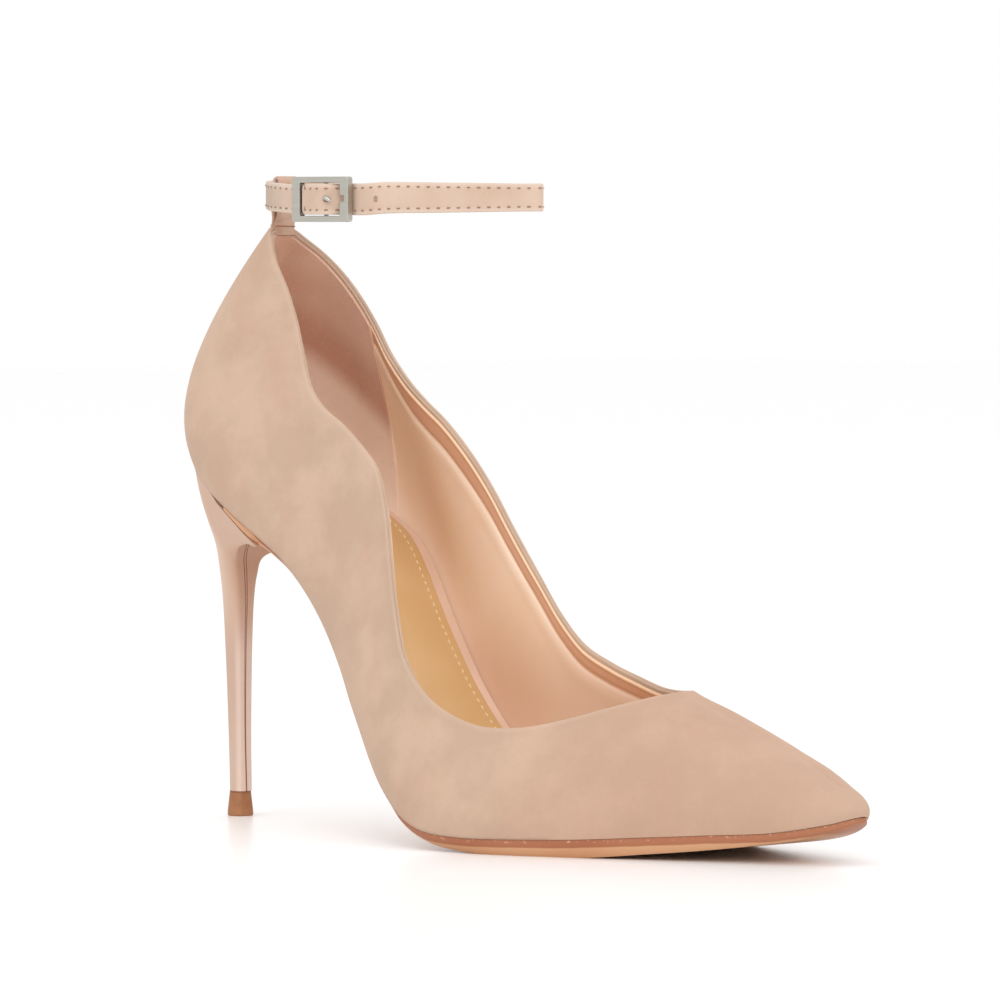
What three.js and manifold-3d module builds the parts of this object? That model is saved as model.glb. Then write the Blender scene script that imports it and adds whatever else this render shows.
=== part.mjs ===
// Ankle strap pump, one right shoe, standing empty on its sole.
// X runs from the heel to the toe, +Y to the inner (medial) side, +Z up, in millimetres.
// The tables give x from the back of the heel seat and z from the floor; the origin is put
// under the middle of the whole shoe by MIDDLE_X and MIDDLE_Y.
import * as THREE from 'three';
import Module from 'manifold-3d';
import { mergeVertices } from 'three/addons/utils/BufferGeometryUtils.js';

const wasm = await Module();
wasm.setup();

// Driving dimensions
const MIDDLE_X = 114.85;          // middle of the shoe's length
const MIDDLE_Y = -1.45;           // middle of its width
const GAP = 0.3;                 // clearance between curved pieces
const WALL = 1.8;                // upper with its lining
const TOPLINE_ROLL = 0.5;        // height of the rounded topline edge
const INSOLE_THICK = 2.4;
const INSOLE_FROM = 2.9;
const INSOLE_TO = 228.0;
const SOCK_THICK = 0.8;
const SOCK_FROM = 7.0;
const SOCK_TO = 214;
const SOCK_OUTER = 3.4;          // the sock's edge from the lining, outer side
const SOCK_INNER = 3.6;          // and inner side
const FLAT_FROM = 139;           // the forefoot's flat spot on the floor
const FLAT_TO = 164;
const SOLE_BACK = 30;            // the outsole starts here, under the heel seat
const SEAT_STEP = 3;             // the heel drops to the sole's underside this far behind it
const SOLE_TIP = 230.3;          // where the outsole ends at the toe
const SOLE_STEPS = 26;           // sections in its back half and in its front half
const EDGE_HEIGHT = 1.0;         // upright strip along the sole's edge
const SOLE_BEVEL = 1.9;          // how far the sole's lower face is set in
const TOP_PIECE_HEIGHT = 6.4;    // heel tip
const TOP_PIECE = { x: 7.9, long: 3.5, half: 3.4, front: 3.0, taper: 0.84, steps: 24 };
const STRAP_HOLE = 0.9;          // radius of the spare hole
const RIBS_PER_ROW = 2;
const LEVELS = 12;               // steps from the feather line to the topline

// Long profile: x, height of the feather line, depth of the sole under it
const PROFILE = [
  { x: -3, feather: 102.6, sole: 0.9 },
  { x: 8, feather: 97.0, sole: 0.9 },
  { x: 21.6, feather: 89.4, sole: 0.9 },
  { x: 30, feather: 84.5, sole: 1.2 },
  { x: 44, feather: 76.1, sole: 3.0 },
  { x: 51.5, feather: 70.7, sole: 3.0 },
  { x: 60.5, feather: 61.5, sole: 3.0 },
  { x: 72.5, feather: 47.0, sole: 3.0 },
  { x: 84, feather: 32.9, sole: 3.0 },
  { x: 96.5, feather: 20.0, sole: 3.0 },
  { x: 110, feather: 10.2, sole: 2.4 },
  { x: 116, feather: 7.2, sole: 2.4 },
  { x: 122, feather: 5.3, sole: 2.6 },
  { x: 128, feather: 4.4, sole: 3.2 },
  { x: 139, feather: 4.0, sole: 4.0 },
  { x: 164, feather: 4.7, sole: 4.7 },
  { x: 181, feather: 5.8, sole: 4.3 },
  { x: 197, feather: 6.9, sole: 3.7 },
  { x: 212.5, feather: 8.0, sole: 2.8 },
  { x: 225, feather: 10.4, sole: 2.6 },
  { x: 231, feather: 12.4, sole: 1.6 },
  { x: 236, feather: 14.4, sole: 1.4 },
];

// Ribs of the upper: where each starts on the feather line and where it ends on the topline
const BACK = { footX: 0.4, footY: 0, topX: 25.4, topY: -1.4, topZ: 157.5 };
const LATERAL = [
  { footX: 2.0, footY: -8.6, topX: 26.5, topY: -5.0, topZ: 157.5 },
  { footX: 7.6, footY: -16.6, topX: 28.8, topY: -8.2, topZ: 157.0 },
  { footX: 15.6, footY: -22.0, topX: 31.6, topY: -10.4, topZ: 154.6 },
  { footX: 24.0, footY: -24.8, topX: 35.4, topY: -12.3, topZ: 149.0 },
  { footX: 32.0, footY: -25.6, topX: 42.0, topY: -14.4, topZ: 141.9 },
  { footX: 40.0, footY: -25.4, topX: 48.4, topY: -16.5, topZ: 133.0 },
  { footX: 47.0, footY: -24.5, topX: 52.8, topY: -18.0, topZ: 124.0 },
  { footX: 53.5, footY: -23.4, topX: 56.6, topY: -19.2, topZ: 116.3 },
  { footX: 60.0, footY: -22.6, topX: 62.4, topY: -20.3, topZ: 111.1 },
  { footX: 67.0, footY: -22.8, topX: 71.1, topY: -21.0, topZ: 106.5 },
  { footX: 75.0, footY: -24.6, topX: 78.8, topY: -21.6, topZ: 101.4 },
  { footX: 82.0, footY: -27.2, topX: 85.3, topY: -22.0, topZ: 95.9 },
  { footX: 88.5, footY: -29.6, topX: 89.1, topY: -22.6, topZ: 88.0 },
  { footX: 95.0, footY: -32.3, topX: 93.8, topY: -25.0, topZ: 74.3 },
  { footX: 101.5, footY: -35.0, topX: 98.9, topY: -27.6, topZ: 60.0 },
  { footX: 108.0, footY: -37.2, topX: 105.2, topY: -30.7, topZ: 49.0 },
  { footX: 115.5, footY: -39.0, topX: 114.8, topY: -32.9, topZ: 40.0 },
  { footX: 124.0, footY: -39.6, topX: 124.9, topY: -32.7, topZ: 34.5 },
  { footX: 134.0, footY: -38.2, topX: 134.5, topY: -30.0, topZ: 31.4 },
  { footX: 145.0, footY: -35.2, topX: 144.0, topY: -25.0, topZ: 31.4 },
  { footX: 156.0, footY: -30.7, topX: 154.0, topY: -19.0, topZ: 33.8 },
  { footX: 166.0, footY: -26.2, topX: 163.4, topY: -12.2, topZ: 37.1 },
  { footX: 174.5, footY: -22.2, topX: 170.2, topY: -3.6, topZ: 39.8 },
];
const MEDIAL = [
  { footX: 2.0, footY: 8.6, topX: 26.2, topY: 2.3, topZ: 157.3 },
  { footX: 7.6, footY: 16.8, topX: 28.3, topY: 6.3, topZ: 154.2 },
  { footX: 15.6, footY: 22.6, topX: 31.2, topY: 10.9, topZ: 149.8 },
  { footX: 24.0, footY: 25.8, topX: 35.2, topY: 13.6, topZ: 144.9 },
  { footX: 32.0, footY: 27.2, topX: 40.0, topY: 15.0, topZ: 139.2 },
  { footX: 40.0, footY: 29.0, topX: 45.4, topY: 15.9, topZ: 132.0 },
  { footX: 47.0, footY: 29.6, topX: 50.1, topY: 16.9, topZ: 124.1 },
  { footX: 54.0, footY: 28.6, topX: 56.0, topY: 17.9, topZ: 116.9 },
  { footX: 61.0, footY: 26.6, topX: 61.8, topY: 18.7, topZ: 111.7 },
  { footX: 68.0, footY: 24.6, topX: 69.0, topY: 19.5, topZ: 106.2 },
  { footX: 75.0, footY: 23.2, topX: 77.7, topY: 20.0, topZ: 98.2 },
  { footX: 82.0, footY: 22.4, topX: 85.3, topY: 20.7, topZ: 89.2 },
  { footX: 89.0, footY: 22.2, topX: 92.6, topY: 21.6, topZ: 78.5 },
  { footX: 96.0, footY: 22.6, topX: 100.3, topY: 23.0, topZ: 67.2 },
  { footX: 103.0, footY: 23.8, topX: 106.8, topY: 25.3, topZ: 56.4 },
  { footX: 110.5, footY: 26.0, topX: 113.2, topY: 27.5, topZ: 48.8 },
  { footX: 119.0, footY: 29.0, topX: 122.0, topY: 29.5, topZ: 44.1 },
  { footX: 129.0, footY: 32.2, topX: 132.0, topY: 29.8, topZ: 41.0 },
  { footX: 139.0, footY: 35.0, topX: 142.0, topY: 27.6, topZ: 39.2 },
  { footX: 149.0, footY: 36.8, topX: 151.5, topY: 23.5, topZ: 39.1 },
  { footX: 159.0, footY: 36.8, topX: 160.0, topY: 18.6, topZ: 39.7 },
  { footX: 169.0, footY: 35.2, topX: 167.5, topY: 13.0, topZ: 40.4 },
  { footX: 175.0, footY: 33.8, topX: 170.8, topY: 9.6, topZ: 40.8 },
];

// The vamp: the feet of its ribs on both sides and the ridge point where they meet
const VAMP = [
  { x: 181.5, outY: -18.8, inX: 181.0, inY: 32.2, ridgeX: 172.4, ridgeY: 4.6, ridgeZ: 40.9 },
  { x: 190.0, outY: -15.0, inX: 189.5, inY: 29.6, ridgeX: 181.5, ridgeY: 6.4, ridgeZ: 36.7 },
  { x: 199.5, outY: -10.4, inX: 199.0, inY: 26.4, ridgeX: 192.0, ridgeY: 7.6, ridgeZ: 32.6 },
  { x: 209.0, outY: -5.8, inX: 209.0, inY: 22.9, ridgeX: 202.5, ridgeY: 8.3, ridgeZ: 28.6 },
  { x: 218.0, outY: -1.6, inX: 218.5, inY: 19.2, ridgeX: 211.5, ridgeY: 8.9, ridgeZ: 25.1 },
  { x: 224.6, outY: 2.4, inX: 225.0, inY: 15.8, ridgeX: 217.5, ridgeY: 9.3, ridgeZ: 22.0 },
  { x: 229.2, outY: 5.8, inX: 229.4, inY: 12.7, ridgeX: 221.4, ridgeY: 9.4, ridgeZ: 20.1 },
];
const TOE = { x: 231.0, y: 9.4, ridgeX: 223.4, ridgeY: 9.4, ridgeZ: 19.2 };

// Shape of a rib between its two ends, along the shoe from the back seam to the toe:
// bulge outwards (mm), its height, reach of the top back over the foot, drop of that point
const RIB_SHAPE = [
  { at: 0.0, bulge: 8.6, rise: 0.24, reach: 0.78, drop: 0.35 },
  { at: 0.15, bulge: 6.2, rise: 0.27, reach: 0.6, drop: 0.34 },
  { at: 0.4, bulge: 3.8, rise: 0.28, reach: 0.25, drop: 0.33 },
  { at: 0.62, bulge: 2.8, rise: 0.4, reach: 0.3, drop: 0.28 },
  { at: 0.74, bulge: 2.4, rise: 0.48, reach: 0.42, drop: 0.14 },
  { at: 0.8, bulge: 2.2, rise: 0.52, reach: 0.5, drop: 0.02 },
  { at: 0.9, bulge: 2.0, rise: 0.55, reach: 0.5, drop: 0.0 },
  { at: 1.0, bulge: 2.0, rise: 0.5, reach: 0.4, drop: 0.0 },
];

// Heel: one ring per row, from the tip up to the seat
const HEEL = [
  { backX: 5.1, backZ: 6.7, frontX: 10.5, frontZ: 6.7, half: 2.7, breast: 0.5, scoop: 0, seat: 0 },
  { backX: 4.6, backZ: 20, frontX: 10.3, frontZ: 20, half: 2.75, breast: 0.5, scoop: 0, seat: 0 },
  { backX: 4.0, backZ: 34, frontX: 10.3, frontZ: 34, half: 2.95, breast: 0.5, scoop: 0, seat: 0 },
  { backX: 3.4, backZ: 47, frontX: 10.4, frontZ: 47, half: 3.3, breast: 0.5, scoop: 0, seat: 0 },
  { backX: 2.8, backZ: 58, frontX: 10.6, frontZ: 57.5, half: 3.8, breast: 0.5, scoop: 0, seat: 0.03 },
  { backX: 2.3, backZ: 66, frontX: 10.9, frontZ: 64.5, half: 4.8, breast: 0.54, scoop: 0.3, seat: 0.08 },
  { backX: 1.8, backZ: 74, frontX: 12.0, frontZ: 69.5, half: 6.6, breast: 0.6, scoop: 1.0, seat: 0.2 },
  { backX: 1.4, backZ: 82, frontX: 19.0, frontZ: 72.4, half: 11.8, breast: 0.74, scoop: 5, seat: 0.45 },
  { backX: 1.1, backZ: 90, frontX: 31.5, frontZ: 74.2, half: 18.4, breast: 0.9, scoop: 10.5, seat: 0.78 },
];
const HEEL_FRONT = 42.5;
const FRONT_STEPS = 9;

// Strap: its middle line from the fold round the buckle's pin, round the ankle to the tip.
// Rows with s and n are in the buckle's own frame: s along the strap, n outwards.
const STRAP_Z = 165.4;
const BUCKLE = { x: 59.3, y: -15.6, turn: 2.0, z: 165.0 };
const PIN = { s: 0.7, n: -0.1, radius: 0.6 };
const FRAME = {
  length: 21, height: 11.8, endBar: 3.0, sideBar: 1.6, inner: -0.2, outer: 1.8,
  radius: 1.0, innerRadius: 0.5, bevel: 0.3,
};
const STRAP_START = [
  { s: -6.5, n: -2.4, width: 7.6, thick: 0.7 },
  { s: -3.0, n: -2.0, width: 7.6, thick: 0.7 },
  { s: 0.3, n: -1.3, width: 7.6, thick: 0.7 },
  { s: 1.55, n: -1.0, width: 7.6, thick: 0.7 },
  { s: 1.95, n: -0.1, width: 7.6, thick: 0.7 },
  { s: 1.5, n: 0.8, width: 7.6, thick: 0.7 },
  { s: 0.3, n: 1.1, width: 7.6, thick: 0.7 },
  { s: -3.0, n: -0.35, width: 7.6, thick: 0.8 },
  { s: -6.5, n: -1.2, width: 7.6, thick: 1.0 },
  { s: -11.0, n: -1.3, width: 7.6, thick: 1.3 },
];
const STRAP_ROUND = [
  { x: 38.5, y: -13.0, width: 7.6 },
  { x: 32.6, y: -10.6, width: 7.6 },
  { x: 28.2, y: -7.6, width: 7.6 },
  { x: 25.5, y: -4.2, width: 7.6 },
  { x: 24.9, y: -0.6, width: 7.6 },
  { x: 25.5, y: 3.0, width: 7.6 },
  { x: 28.4, y: 7.2, width: 7.6 },
  { x: 34.5, y: 11.4, width: 7.6 },
  { x: 46, y: 15.0, width: 7.6 },
  { x: 60, y: 16.4, width: 7.5 },
  { x: 76, y: 15.0, width: 7.3 },
  { x: 92, y: 11.6, width: 7.1 },
  { x: 108, y: 7.2, width: 6.9 },
  { x: 117.5, y: 4.6, width: 7.2 },
  { x: 121.0, y: 3.6, width: 7.2 },
  { x: 122.3, y: 2.0, width: 7.2 },
  { x: 121.0, y: 0.4, width: 7.2 },
  { x: 117.5, y: -0.8, width: 7.2 },
  { x: 107, y: -4.2, width: 7.5 },
  { x: 93, y: -9.0, width: 7.9 },
  { x: 81, y: -12.8, width: 8.2 },
];
const STRAP_THICK = 1.4;
const STRAP_END = [
  { s: 14.0, n: -1.3, width: 8.3, thick: 1.4 },
  { s: 9.6, n: -1.6, width: 8.3, thick: 1.4 },
  { s: 6.9, n: -1.5, width: 8.2, thick: 1.4 },
  { s: 5.2, n: 0.2, width: 8.0, thick: 1.4 },
  { s: 3.5, n: 1.8, width: 8.0, thick: 1.4 },
  { s: 1.8, n: 2.5, width: 8.0, thick: 1.4 },
  { s: 0.0, n: 2.5, width: 8.0, thick: 1.4 },
  { s: -2.5, n: 2.0, width: 8.0, thick: 1.4 },
  { s: -6.6, n: 0.9, width: 8.0, thick: 1.3 },
];
const SPARE_HOLE_AT = 18.3;       // spare hole, from the buckle's middle
const PRONG = { width: 1.1, thick: 1.0, from: 0.7, to: 5.6, tipDrop: 0.25, crest: 3.5, shoulder: 2.6 };
const TAB = {
  width: 7.5, leather: 1.1, backX: 22.6, frontX: 28.2,
  fromZ: 158.4, baseZ: 160.6, topZ: 170.2, middleY: -0.6,
};

// Smooth curve through a table's column, and its value at a place on it
function curve(points, closed = false) {
  return new THREE.CatmullRomCurve3(points, closed, 'centripetal');
}

function column(rows, key, name, at) {
  let i = 0;
  while (i < rows.length - 2 && rows[i + 1][key] < at) i += 1;
  const slope = (a, b) => (rows[b][name] - rows[a][name]) / (rows[b][key] - rows[a][key]);
  const last = rows.length - 1;
  const step = rows[i + 1][key] - rows[i][key];
  const t = Math.min(Math.max((at - rows[i][key]) / step, 0), 1);
  const start = slope(Math.max(i - 1, 0), i + 1);
  const end = slope(i, Math.min(i + 2, last));
  const t2 = t * t;
  const t3 = t2 * t;
  return rows[i][name] * (2 * t3 - 3 * t2 + 1) + step * start * (t3 - 2 * t2 + t)
    + rows[i + 1][name] * (3 * t2 - 2 * t3) + step * end * (t3 - t2);
}

const featherZ = (x) => column(PROFILE, 'x', 'feather', x);

function soleZ(x) {
  if (x >= FLAT_FROM && x <= FLAT_TO) return 0;
  return Math.max(0, featherZ(x) - column(PROFILE, 'x', 'sole', x));
}

// The closed feather line: outer side from the back seam to the toe, then back on the inner side
const plan = (x, y) => new THREE.Vector3(x, y, 0);
const footPoints = [
  plan(BACK.footX, BACK.footY),
  ...LATERAL.map((r) => plan(r.footX, r.footY)),
  ...VAMP.map((r) => plan(r.x, r.outY)),
  plan(TOE.x, TOE.y),
  ...VAMP.map((r) => plan(r.inX, r.inY)).reverse(),
  ...MEDIAL.map((r) => plan(r.footX, r.footY)).reverse(),
];
const footCurve = curve(footPoints, true);
const SIDE_ROWS = LATERAL.length + 1 + VAMP.length;
const topPoints = [
  ...LATERAL.map((r) => new THREE.Vector3(r.topX, r.topY, r.topZ)).reverse(),
  new THREE.Vector3(BACK.topX, BACK.topY, BACK.topZ),
  ...MEDIAL.map((r) => new THREE.Vector3(r.topX, r.topY, r.topZ)),
  new THREE.Vector3(VAMP[0].ridgeX, VAMP[0].ridgeY, VAMP[0].ridgeZ),
];
const topCurve = curve(topPoints, true);
const ridgePoints = VAMP.map((r) => new THREE.Vector3(r.ridgeX, r.ridgeY, r.ridgeZ));
ridgePoints.push(new THREE.Vector3(TOE.ridgeX, TOE.ridgeY, TOE.ridgeZ));
const ridgeCurve = curve(ridgePoints);

// side is -1 on the outer side and +1 on the inner side; row counts from the back seam
function footAt(side, row) {
  const turn = (side < 0 ? row : 2 * SIDE_ROWS - row) / (2 * SIDE_ROWS);
  return footCurve.getPoint(((turn % 1) + 1) % 1);
}

function footOutwards(side, row) {
  const ahead = footAt(side, row + 0.02);
  const behind = footAt(side, row - 0.02);
  const along = ahead.sub(behind).normalize();
  return side < 0 ? plan(along.y, -along.x) : plan(-along.y, along.x);
}

function topAt(side, row) {
  const quarterRows = LATERAL.length + 1;
  if (row >= quarterRows) return ridgeCurve.getPoint((row - quarterRows) / VAMP.length);
  const place = LATERAL.length + side * row;
  const count = topPoints.length;
  return topCurve.getPoint((((place % count) + count) % count) / count);
}

// A rib rises from the feather line with a bulge and closes in at the topline
function ribPoint(side, row, height) {
  const foot = footAt(side, row);
  foot.z = featherZ(foot.x);
  const top = topAt(side, row);
  const rise = top.z - foot.z;
  const at = row / SIDE_ROWS;
  const shape = (name) => column(RIB_SHAPE, 'at', name, at);
  const low = foot.clone().addScaledVector(footOutwards(side, row), shape('bulge'));
  low.z += shape('rise') * rise;
  const high = top.clone().add(plan(foot.x - top.x, foot.y - top.y).multiplyScalar(shape('reach')));
  high.z = top.z - shape('drop') * rise;
  return new THREE.CubicBezierCurve3(foot, low, high, top).getPoint(height);
}

function finish(positions, faces) {
  const geometry = new THREE.BufferGeometry();
  geometry.setAttribute('position', new THREE.Float32BufferAttribute(positions, 3));
  geometry.setIndex(faces);
  geometry.computeVertexNormals();
  return geometry;
}

// The upper: a wall between the ribs and their inward offset, open at the collar and underneath
function upperGeometry() {
  const ribs = SIDE_ROWS * RIBS_PER_ROW;
  const throat = (LATERAL.length + 1) * RIBS_PER_ROW;
  const points = [];
  const index = new Map();
  const outer = (side, j, v) => {
    const shared = j === 0 || j === ribs || (v === LEVELS && j >= throat);
    const key = `${shared ? 0 : side},${j},${v}`;
    if (!index.has(key)) {
      index.set(key, points.length);
      points.push(ribPoint(shared ? -1 : side, j / RIBS_PER_ROW, v / LEVELS));
    }
    return index.get(key);
  };
  const faces = [];
  const quad = (side, a, b, c, d) => {
    if (side < 0) faces.push(a, b, c, a, c, d);
    else faces.push(a, c, b, a, d, c);
  };
  for (const side of [-1, 1]) {
    for (let j = 0; j < ribs; j += 1) {
      for (let v = 0; v < LEVELS; v += 1) {
        const next = j + 1;
        quad(side, outer(side, j, v), outer(side, next, v), outer(side, next, v + 1), outer(side, j, v + 1));
      }
    }
  }
  const count = points.length;
  const shell = finish(points.flatMap((p) => [p.x, p.y, p.z]), faces);
  const normals = shell.getAttribute('normal');
  const bottom = new Set();
  for (const side of [-1, 1]) {
    for (let j = 0; j <= ribs; j += 1) bottom.add(outer(side, j, 0));
  }
  for (let k = 0; k < count; k += 1) {
    const normal = new THREE.Vector3().fromBufferAttribute(normals, k);
    if (bottom.has(k)) normal.setZ(0).normalize();
    const inside = points[k].clone().addScaledVector(normal, -WALL);
    if (bottom.has(k)) inside.z = featherZ(inside.x);
    points.push(inside);
  }
  const outerFaces = faces.slice();
  for (let k = 0; k < outerFaces.length; k += 3) {
    faces.push(outerFaces[k] + count, outerFaces[k + 2] + count, outerFaces[k + 1] + count);
  }
  const rim = new Map();
  const rimPoint = (k) => {
    if (!rim.has(k)) {
      rim.set(k, points.length);
      const middle = points[k].clone().add(points[k + count]).multiplyScalar(0.5);
      middle.z += TOPLINE_ROLL;
      points.push(middle);
    }
    return rim.get(k);
  };
  for (const side of [-1, 1]) {
    for (let j = 0; j < ribs; j += 1) {
      const a = outer(side, j, 0);
      const b = outer(side, j + 1, 0);
      quad(side, a + count, b + count, b, a);
    }
    for (let j = 0; j < throat; j += 1) {
      const a = outer(side, j, LEVELS);
      const b = outer(side, j + 1, LEVELS);
      quad(side, a, b, rimPoint(b), rimPoint(a));
      quad(side, rimPoint(a), rimPoint(b), b + count, a + count);
    }
  }
  return finish(points.flatMap((p) => [p.x, p.y, p.z]), faces);
}

// Y of the feather line, set in by a distance, at x
function edgeY(side, inset, x) {
  const point = (row) => footAt(side, row).addScaledVector(footOutwards(side, row), -inset);
  let low = 0;
  let high = SIDE_ROWS;
  for (let k = 0; k < 40; k += 1) {
    const middle = (low + high) / 2;
    if (point(middle).x < x) low = middle;
    else high = middle;
  }
  return point((low + high) / 2).y;
}

// Rings of equal length joined into one closed solid; each end is closed from its middle
function loft(rings) {
  const size = rings[0].length;
  const positions = rings.flat().flatMap((p) => [p.x, p.y, p.z]);
  const faces = [];
  for (let k = 0; k < rings.length - 1; k += 1) {
    for (let i = 0; i < size; i += 1) {
      const a = k * size + i;
      const b = k * size + ((i + 1) % size);
      faces.push(a, b, b + size, a, b + size, a + size);
    }
  }
  const last = (rings.length - 1) * size;
  for (let i = 0; i < size / 2 - 1; i += 1) {
    const j = size - 1 - i;
    faces.push(i, j, j - 1, i, j - 1, i + 1);
    faces.push(last + i, last + j - 1, last + j, last + i, last + i + 1, last + j - 1);
  }
  return finish(positions, faces);
}

// Places along the shoe, closer together at a rounded end
function stations(from, to, count, roundBack, roundFront) {
  const list = [];
  for (let k = 0; k <= count; k += 1) {
    let t = k / count;
    if (roundBack && roundFront) t = (1 - Math.cos(Math.PI * t)) / 2;
    else if (roundFront) t = Math.sin(Math.PI * t / 2);
    list.push(from + (to - from) * t);
  }
  return list;
}

// A plate that follows the feather profile, between two heights above or below it
function plate(from, to, count, roundBack, outerInset, innerInset, lower, upper) {
  return loft(stations(from, to, count, roundBack, true).map((x) => {
    const out = edgeY(-1, outerInset(x), x);
    const inn = edgeY(1, innerInset(x), x);
    const low = featherZ(x) + lower;
    const high = featherZ(x) + upper;
    return [
      new THREE.Vector3(x, out, low), new THREE.Vector3(x, inn, low),
      new THREE.Vector3(x, inn, high), new THREE.Vector3(x, out, high),
    ];
  }));
}

const SOLE_INSET = [
  { x: 25, inset: 0.4 }, { x: 42, inset: 0.5 }, { x: 58, inset: 2.0 }, { x: 95, inset: 2.0 },
  { x: 116, inset: 0.6 }, { x: 128, inset: 0.3 }, { x: 240, inset: 0.3 },
];

function outsoleGeometry() {
  const places = stations(SOLE_BACK, FLAT_FROM, SOLE_STEPS, false, false);
  places.push(...stations(FLAT_FROM, SOLE_TIP, SOLE_STEPS, false, true).slice(1));
  return loft(places.map((x) => {
    const inset = column(SOLE_INSET, 'x', 'inset', x);
    const out = edgeY(-1, inset, x);
    const inn = edgeY(1, inset, x);
    const top = featherZ(x) - GAP;
    const low = Math.min(soleZ(x), top - 0.6);
    const edge = Math.max(top - EDGE_HEIGHT, low + 0.3 * (top - low));
    const bevel = Math.min(SOLE_BEVEL, (top - low) * 0.55, (inn - out) * 0.2);
    return [
      new THREE.Vector3(x, out, top),
      new THREE.Vector3(x, out, edge),
      new THREE.Vector3(x, out + bevel, low),
      new THREE.Vector3(x, inn - bevel, low),
      new THREE.Vector3(x, inn, edge),
      new THREE.Vector3(x, inn, top),
    ];
  }));
}

function heelTopZ(x) {
  const seat = featherZ(x) - GAP;
  if (x < SOLE_BACK - SEAT_STEP) return seat;
  return Math.min(seat, Math.min(soleZ(x), featherZ(x) - GAP - 0.6) - GAP);
}

// Heel rings run from the back round the outer side to the breast and back on the inner side
function heelGeometry() {
  const half = 12;
  const rows = [...HEEL, {
    backX: 0.9, backZ: heelTopZ(0.9), frontX: HEEL_FRONT, frontZ: heelTopZ(HEEL_FRONT), half: 24, breast: 1,
    scoop: 7, seat: 1,
  }];
  const rings = rows.map((row) => {
    const place = (q, side) => {
      const x = row.backX + (row.frontX - row.backX) * (1 - Math.cos(Math.PI * q)) / 2;
      const round = q < 0.5 ? Math.sin(Math.PI * q) : 1 - (1 - row.breast) * ((q - 0.5) * 2) ** 2;
      const seatX = rows[rows.length - 1].backX
        + (HEEL_FRONT - rows[rows.length - 1].backX) * (1 - Math.cos(Math.PI * q)) / 2;
      const seatY = Math.abs(edgeY(side, 0.4, Math.max(seatX, 0.95)));
      const y = side * (row.half * round * (1 - row.seat) + seatY * row.seat * (row.half / 24));
      const along = (x - row.backX) / (row.frontX - row.backX);
      const straight = row.backZ + (row.frontZ - row.backZ) * along;
      const top = rows[rows.length - 1];
      const level = top.backZ + (top.frontZ - top.backZ) * along;
      return new THREE.Vector3(x, y, straight + row.seat * (heelTopZ(seatX) - level));
    };
    const ring = [];
    for (let k = 0; k < half; k += 1) ring.push(place((k + 0.35) / (half + 0.35), -1));
    const corner = [place(1, -1), place(1, 1)];
    for (let k = 0; k <= FRONT_STEPS; k += 1) {
      const across = k / FRONT_STEPS;
      const point = corner[0].clone().lerp(corner[1], across);
      const back = row.scoop * (1 - (2 * across - 1) ** 2);
      const slope = (row.frontZ - row.backZ) / (row.frontX - row.backX);
      point.x -= back;
      point.z -= back * slope;
      ring.push(point);
    }
    for (let k = half - 1; k >= 0; k -= 1) ring.push(place((k + 0.35) / (half + 0.35), 1));
    return ring;
  });
  return loft(rings);
}

function topPieceGeometry() {
  const low = [];
  const high = [];
  const { x: middle, long, half, front, taper, steps } = TOP_PIECE;
  for (let k = 0; k < steps; k += 1) {
    const angle = (k / steps) * 2 * Math.PI;
    const x = Math.min(Math.cos(angle) * long, front);
    const y = Math.sin(angle) * half;
    low.push(new THREE.Vector3(middle + x, y, 0));
    high.push(new THREE.Vector3(middle + x * taper, y * taper, TOP_PIECE_HEIGHT));
  }
  return loft([low, high]);
}

// Buckle frame of reference
const turn = THREE.MathUtils.degToRad(BUCKLE.turn);
const ALONG = plan(Math.cos(turn), Math.sin(turn));
const OUTWARDS = plan(Math.sin(turn), -Math.cos(turn));

function atBuckle(s, n, z = 0) {
  const point = plan(BUCKLE.x, BUCKLE.y).addScaledVector(ALONG, s).addScaledVector(OUTWARDS, n);
  point.z = BUCKLE.z + z;
  return point;
}

function solid(geometry) {
  const bare = geometry.clone();
  bare.deleteAttribute('normal');
  bare.deleteAttribute('uv');
  const merged = mergeVertices(bare, 1e-4);
  return new wasm.Manifold(new wasm.Mesh({
    numProp: 3,
    vertProperties: new Float32Array(merged.getAttribute('position').array),
    triVerts: new Uint32Array(merged.getIndex().array),
  }));
}

function fromSolid(body) {
  const mesh = body.getMesh();
  const positions = [];
  for (let k = 0; k < mesh.vertProperties.length; k += mesh.numProp) {
    positions.push(mesh.vertProperties[k], mesh.vertProperties[k + 1], mesh.vertProperties[k + 2]);
  }
  return finish(positions, Array.from(mesh.triVerts));
}

// Place a geometry drawn with x along the strap, y up and z outwards into the buckle's place
function toBuckle(geometry) {
  const origin = atBuckle(0, 0);
  const basis = new THREE.Matrix4().makeBasis(ALONG, new THREE.Vector3(0, 0, 1), OUTWARDS);
  return geometry.applyMatrix4(basis.setPosition(origin));
}

function strapRows() {
  const local = (r) => ({ point: atBuckle(r.s, r.n), width: r.width, thick: r.thick });
  const round = (r) => ({ point: new THREE.Vector3(r.x, r.y, STRAP_Z), width: r.width, thick: STRAP_THICK });
  return [...STRAP_START.map(local), ...STRAP_ROUND.map(round), ...STRAP_END.map(local)];
}

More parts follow.
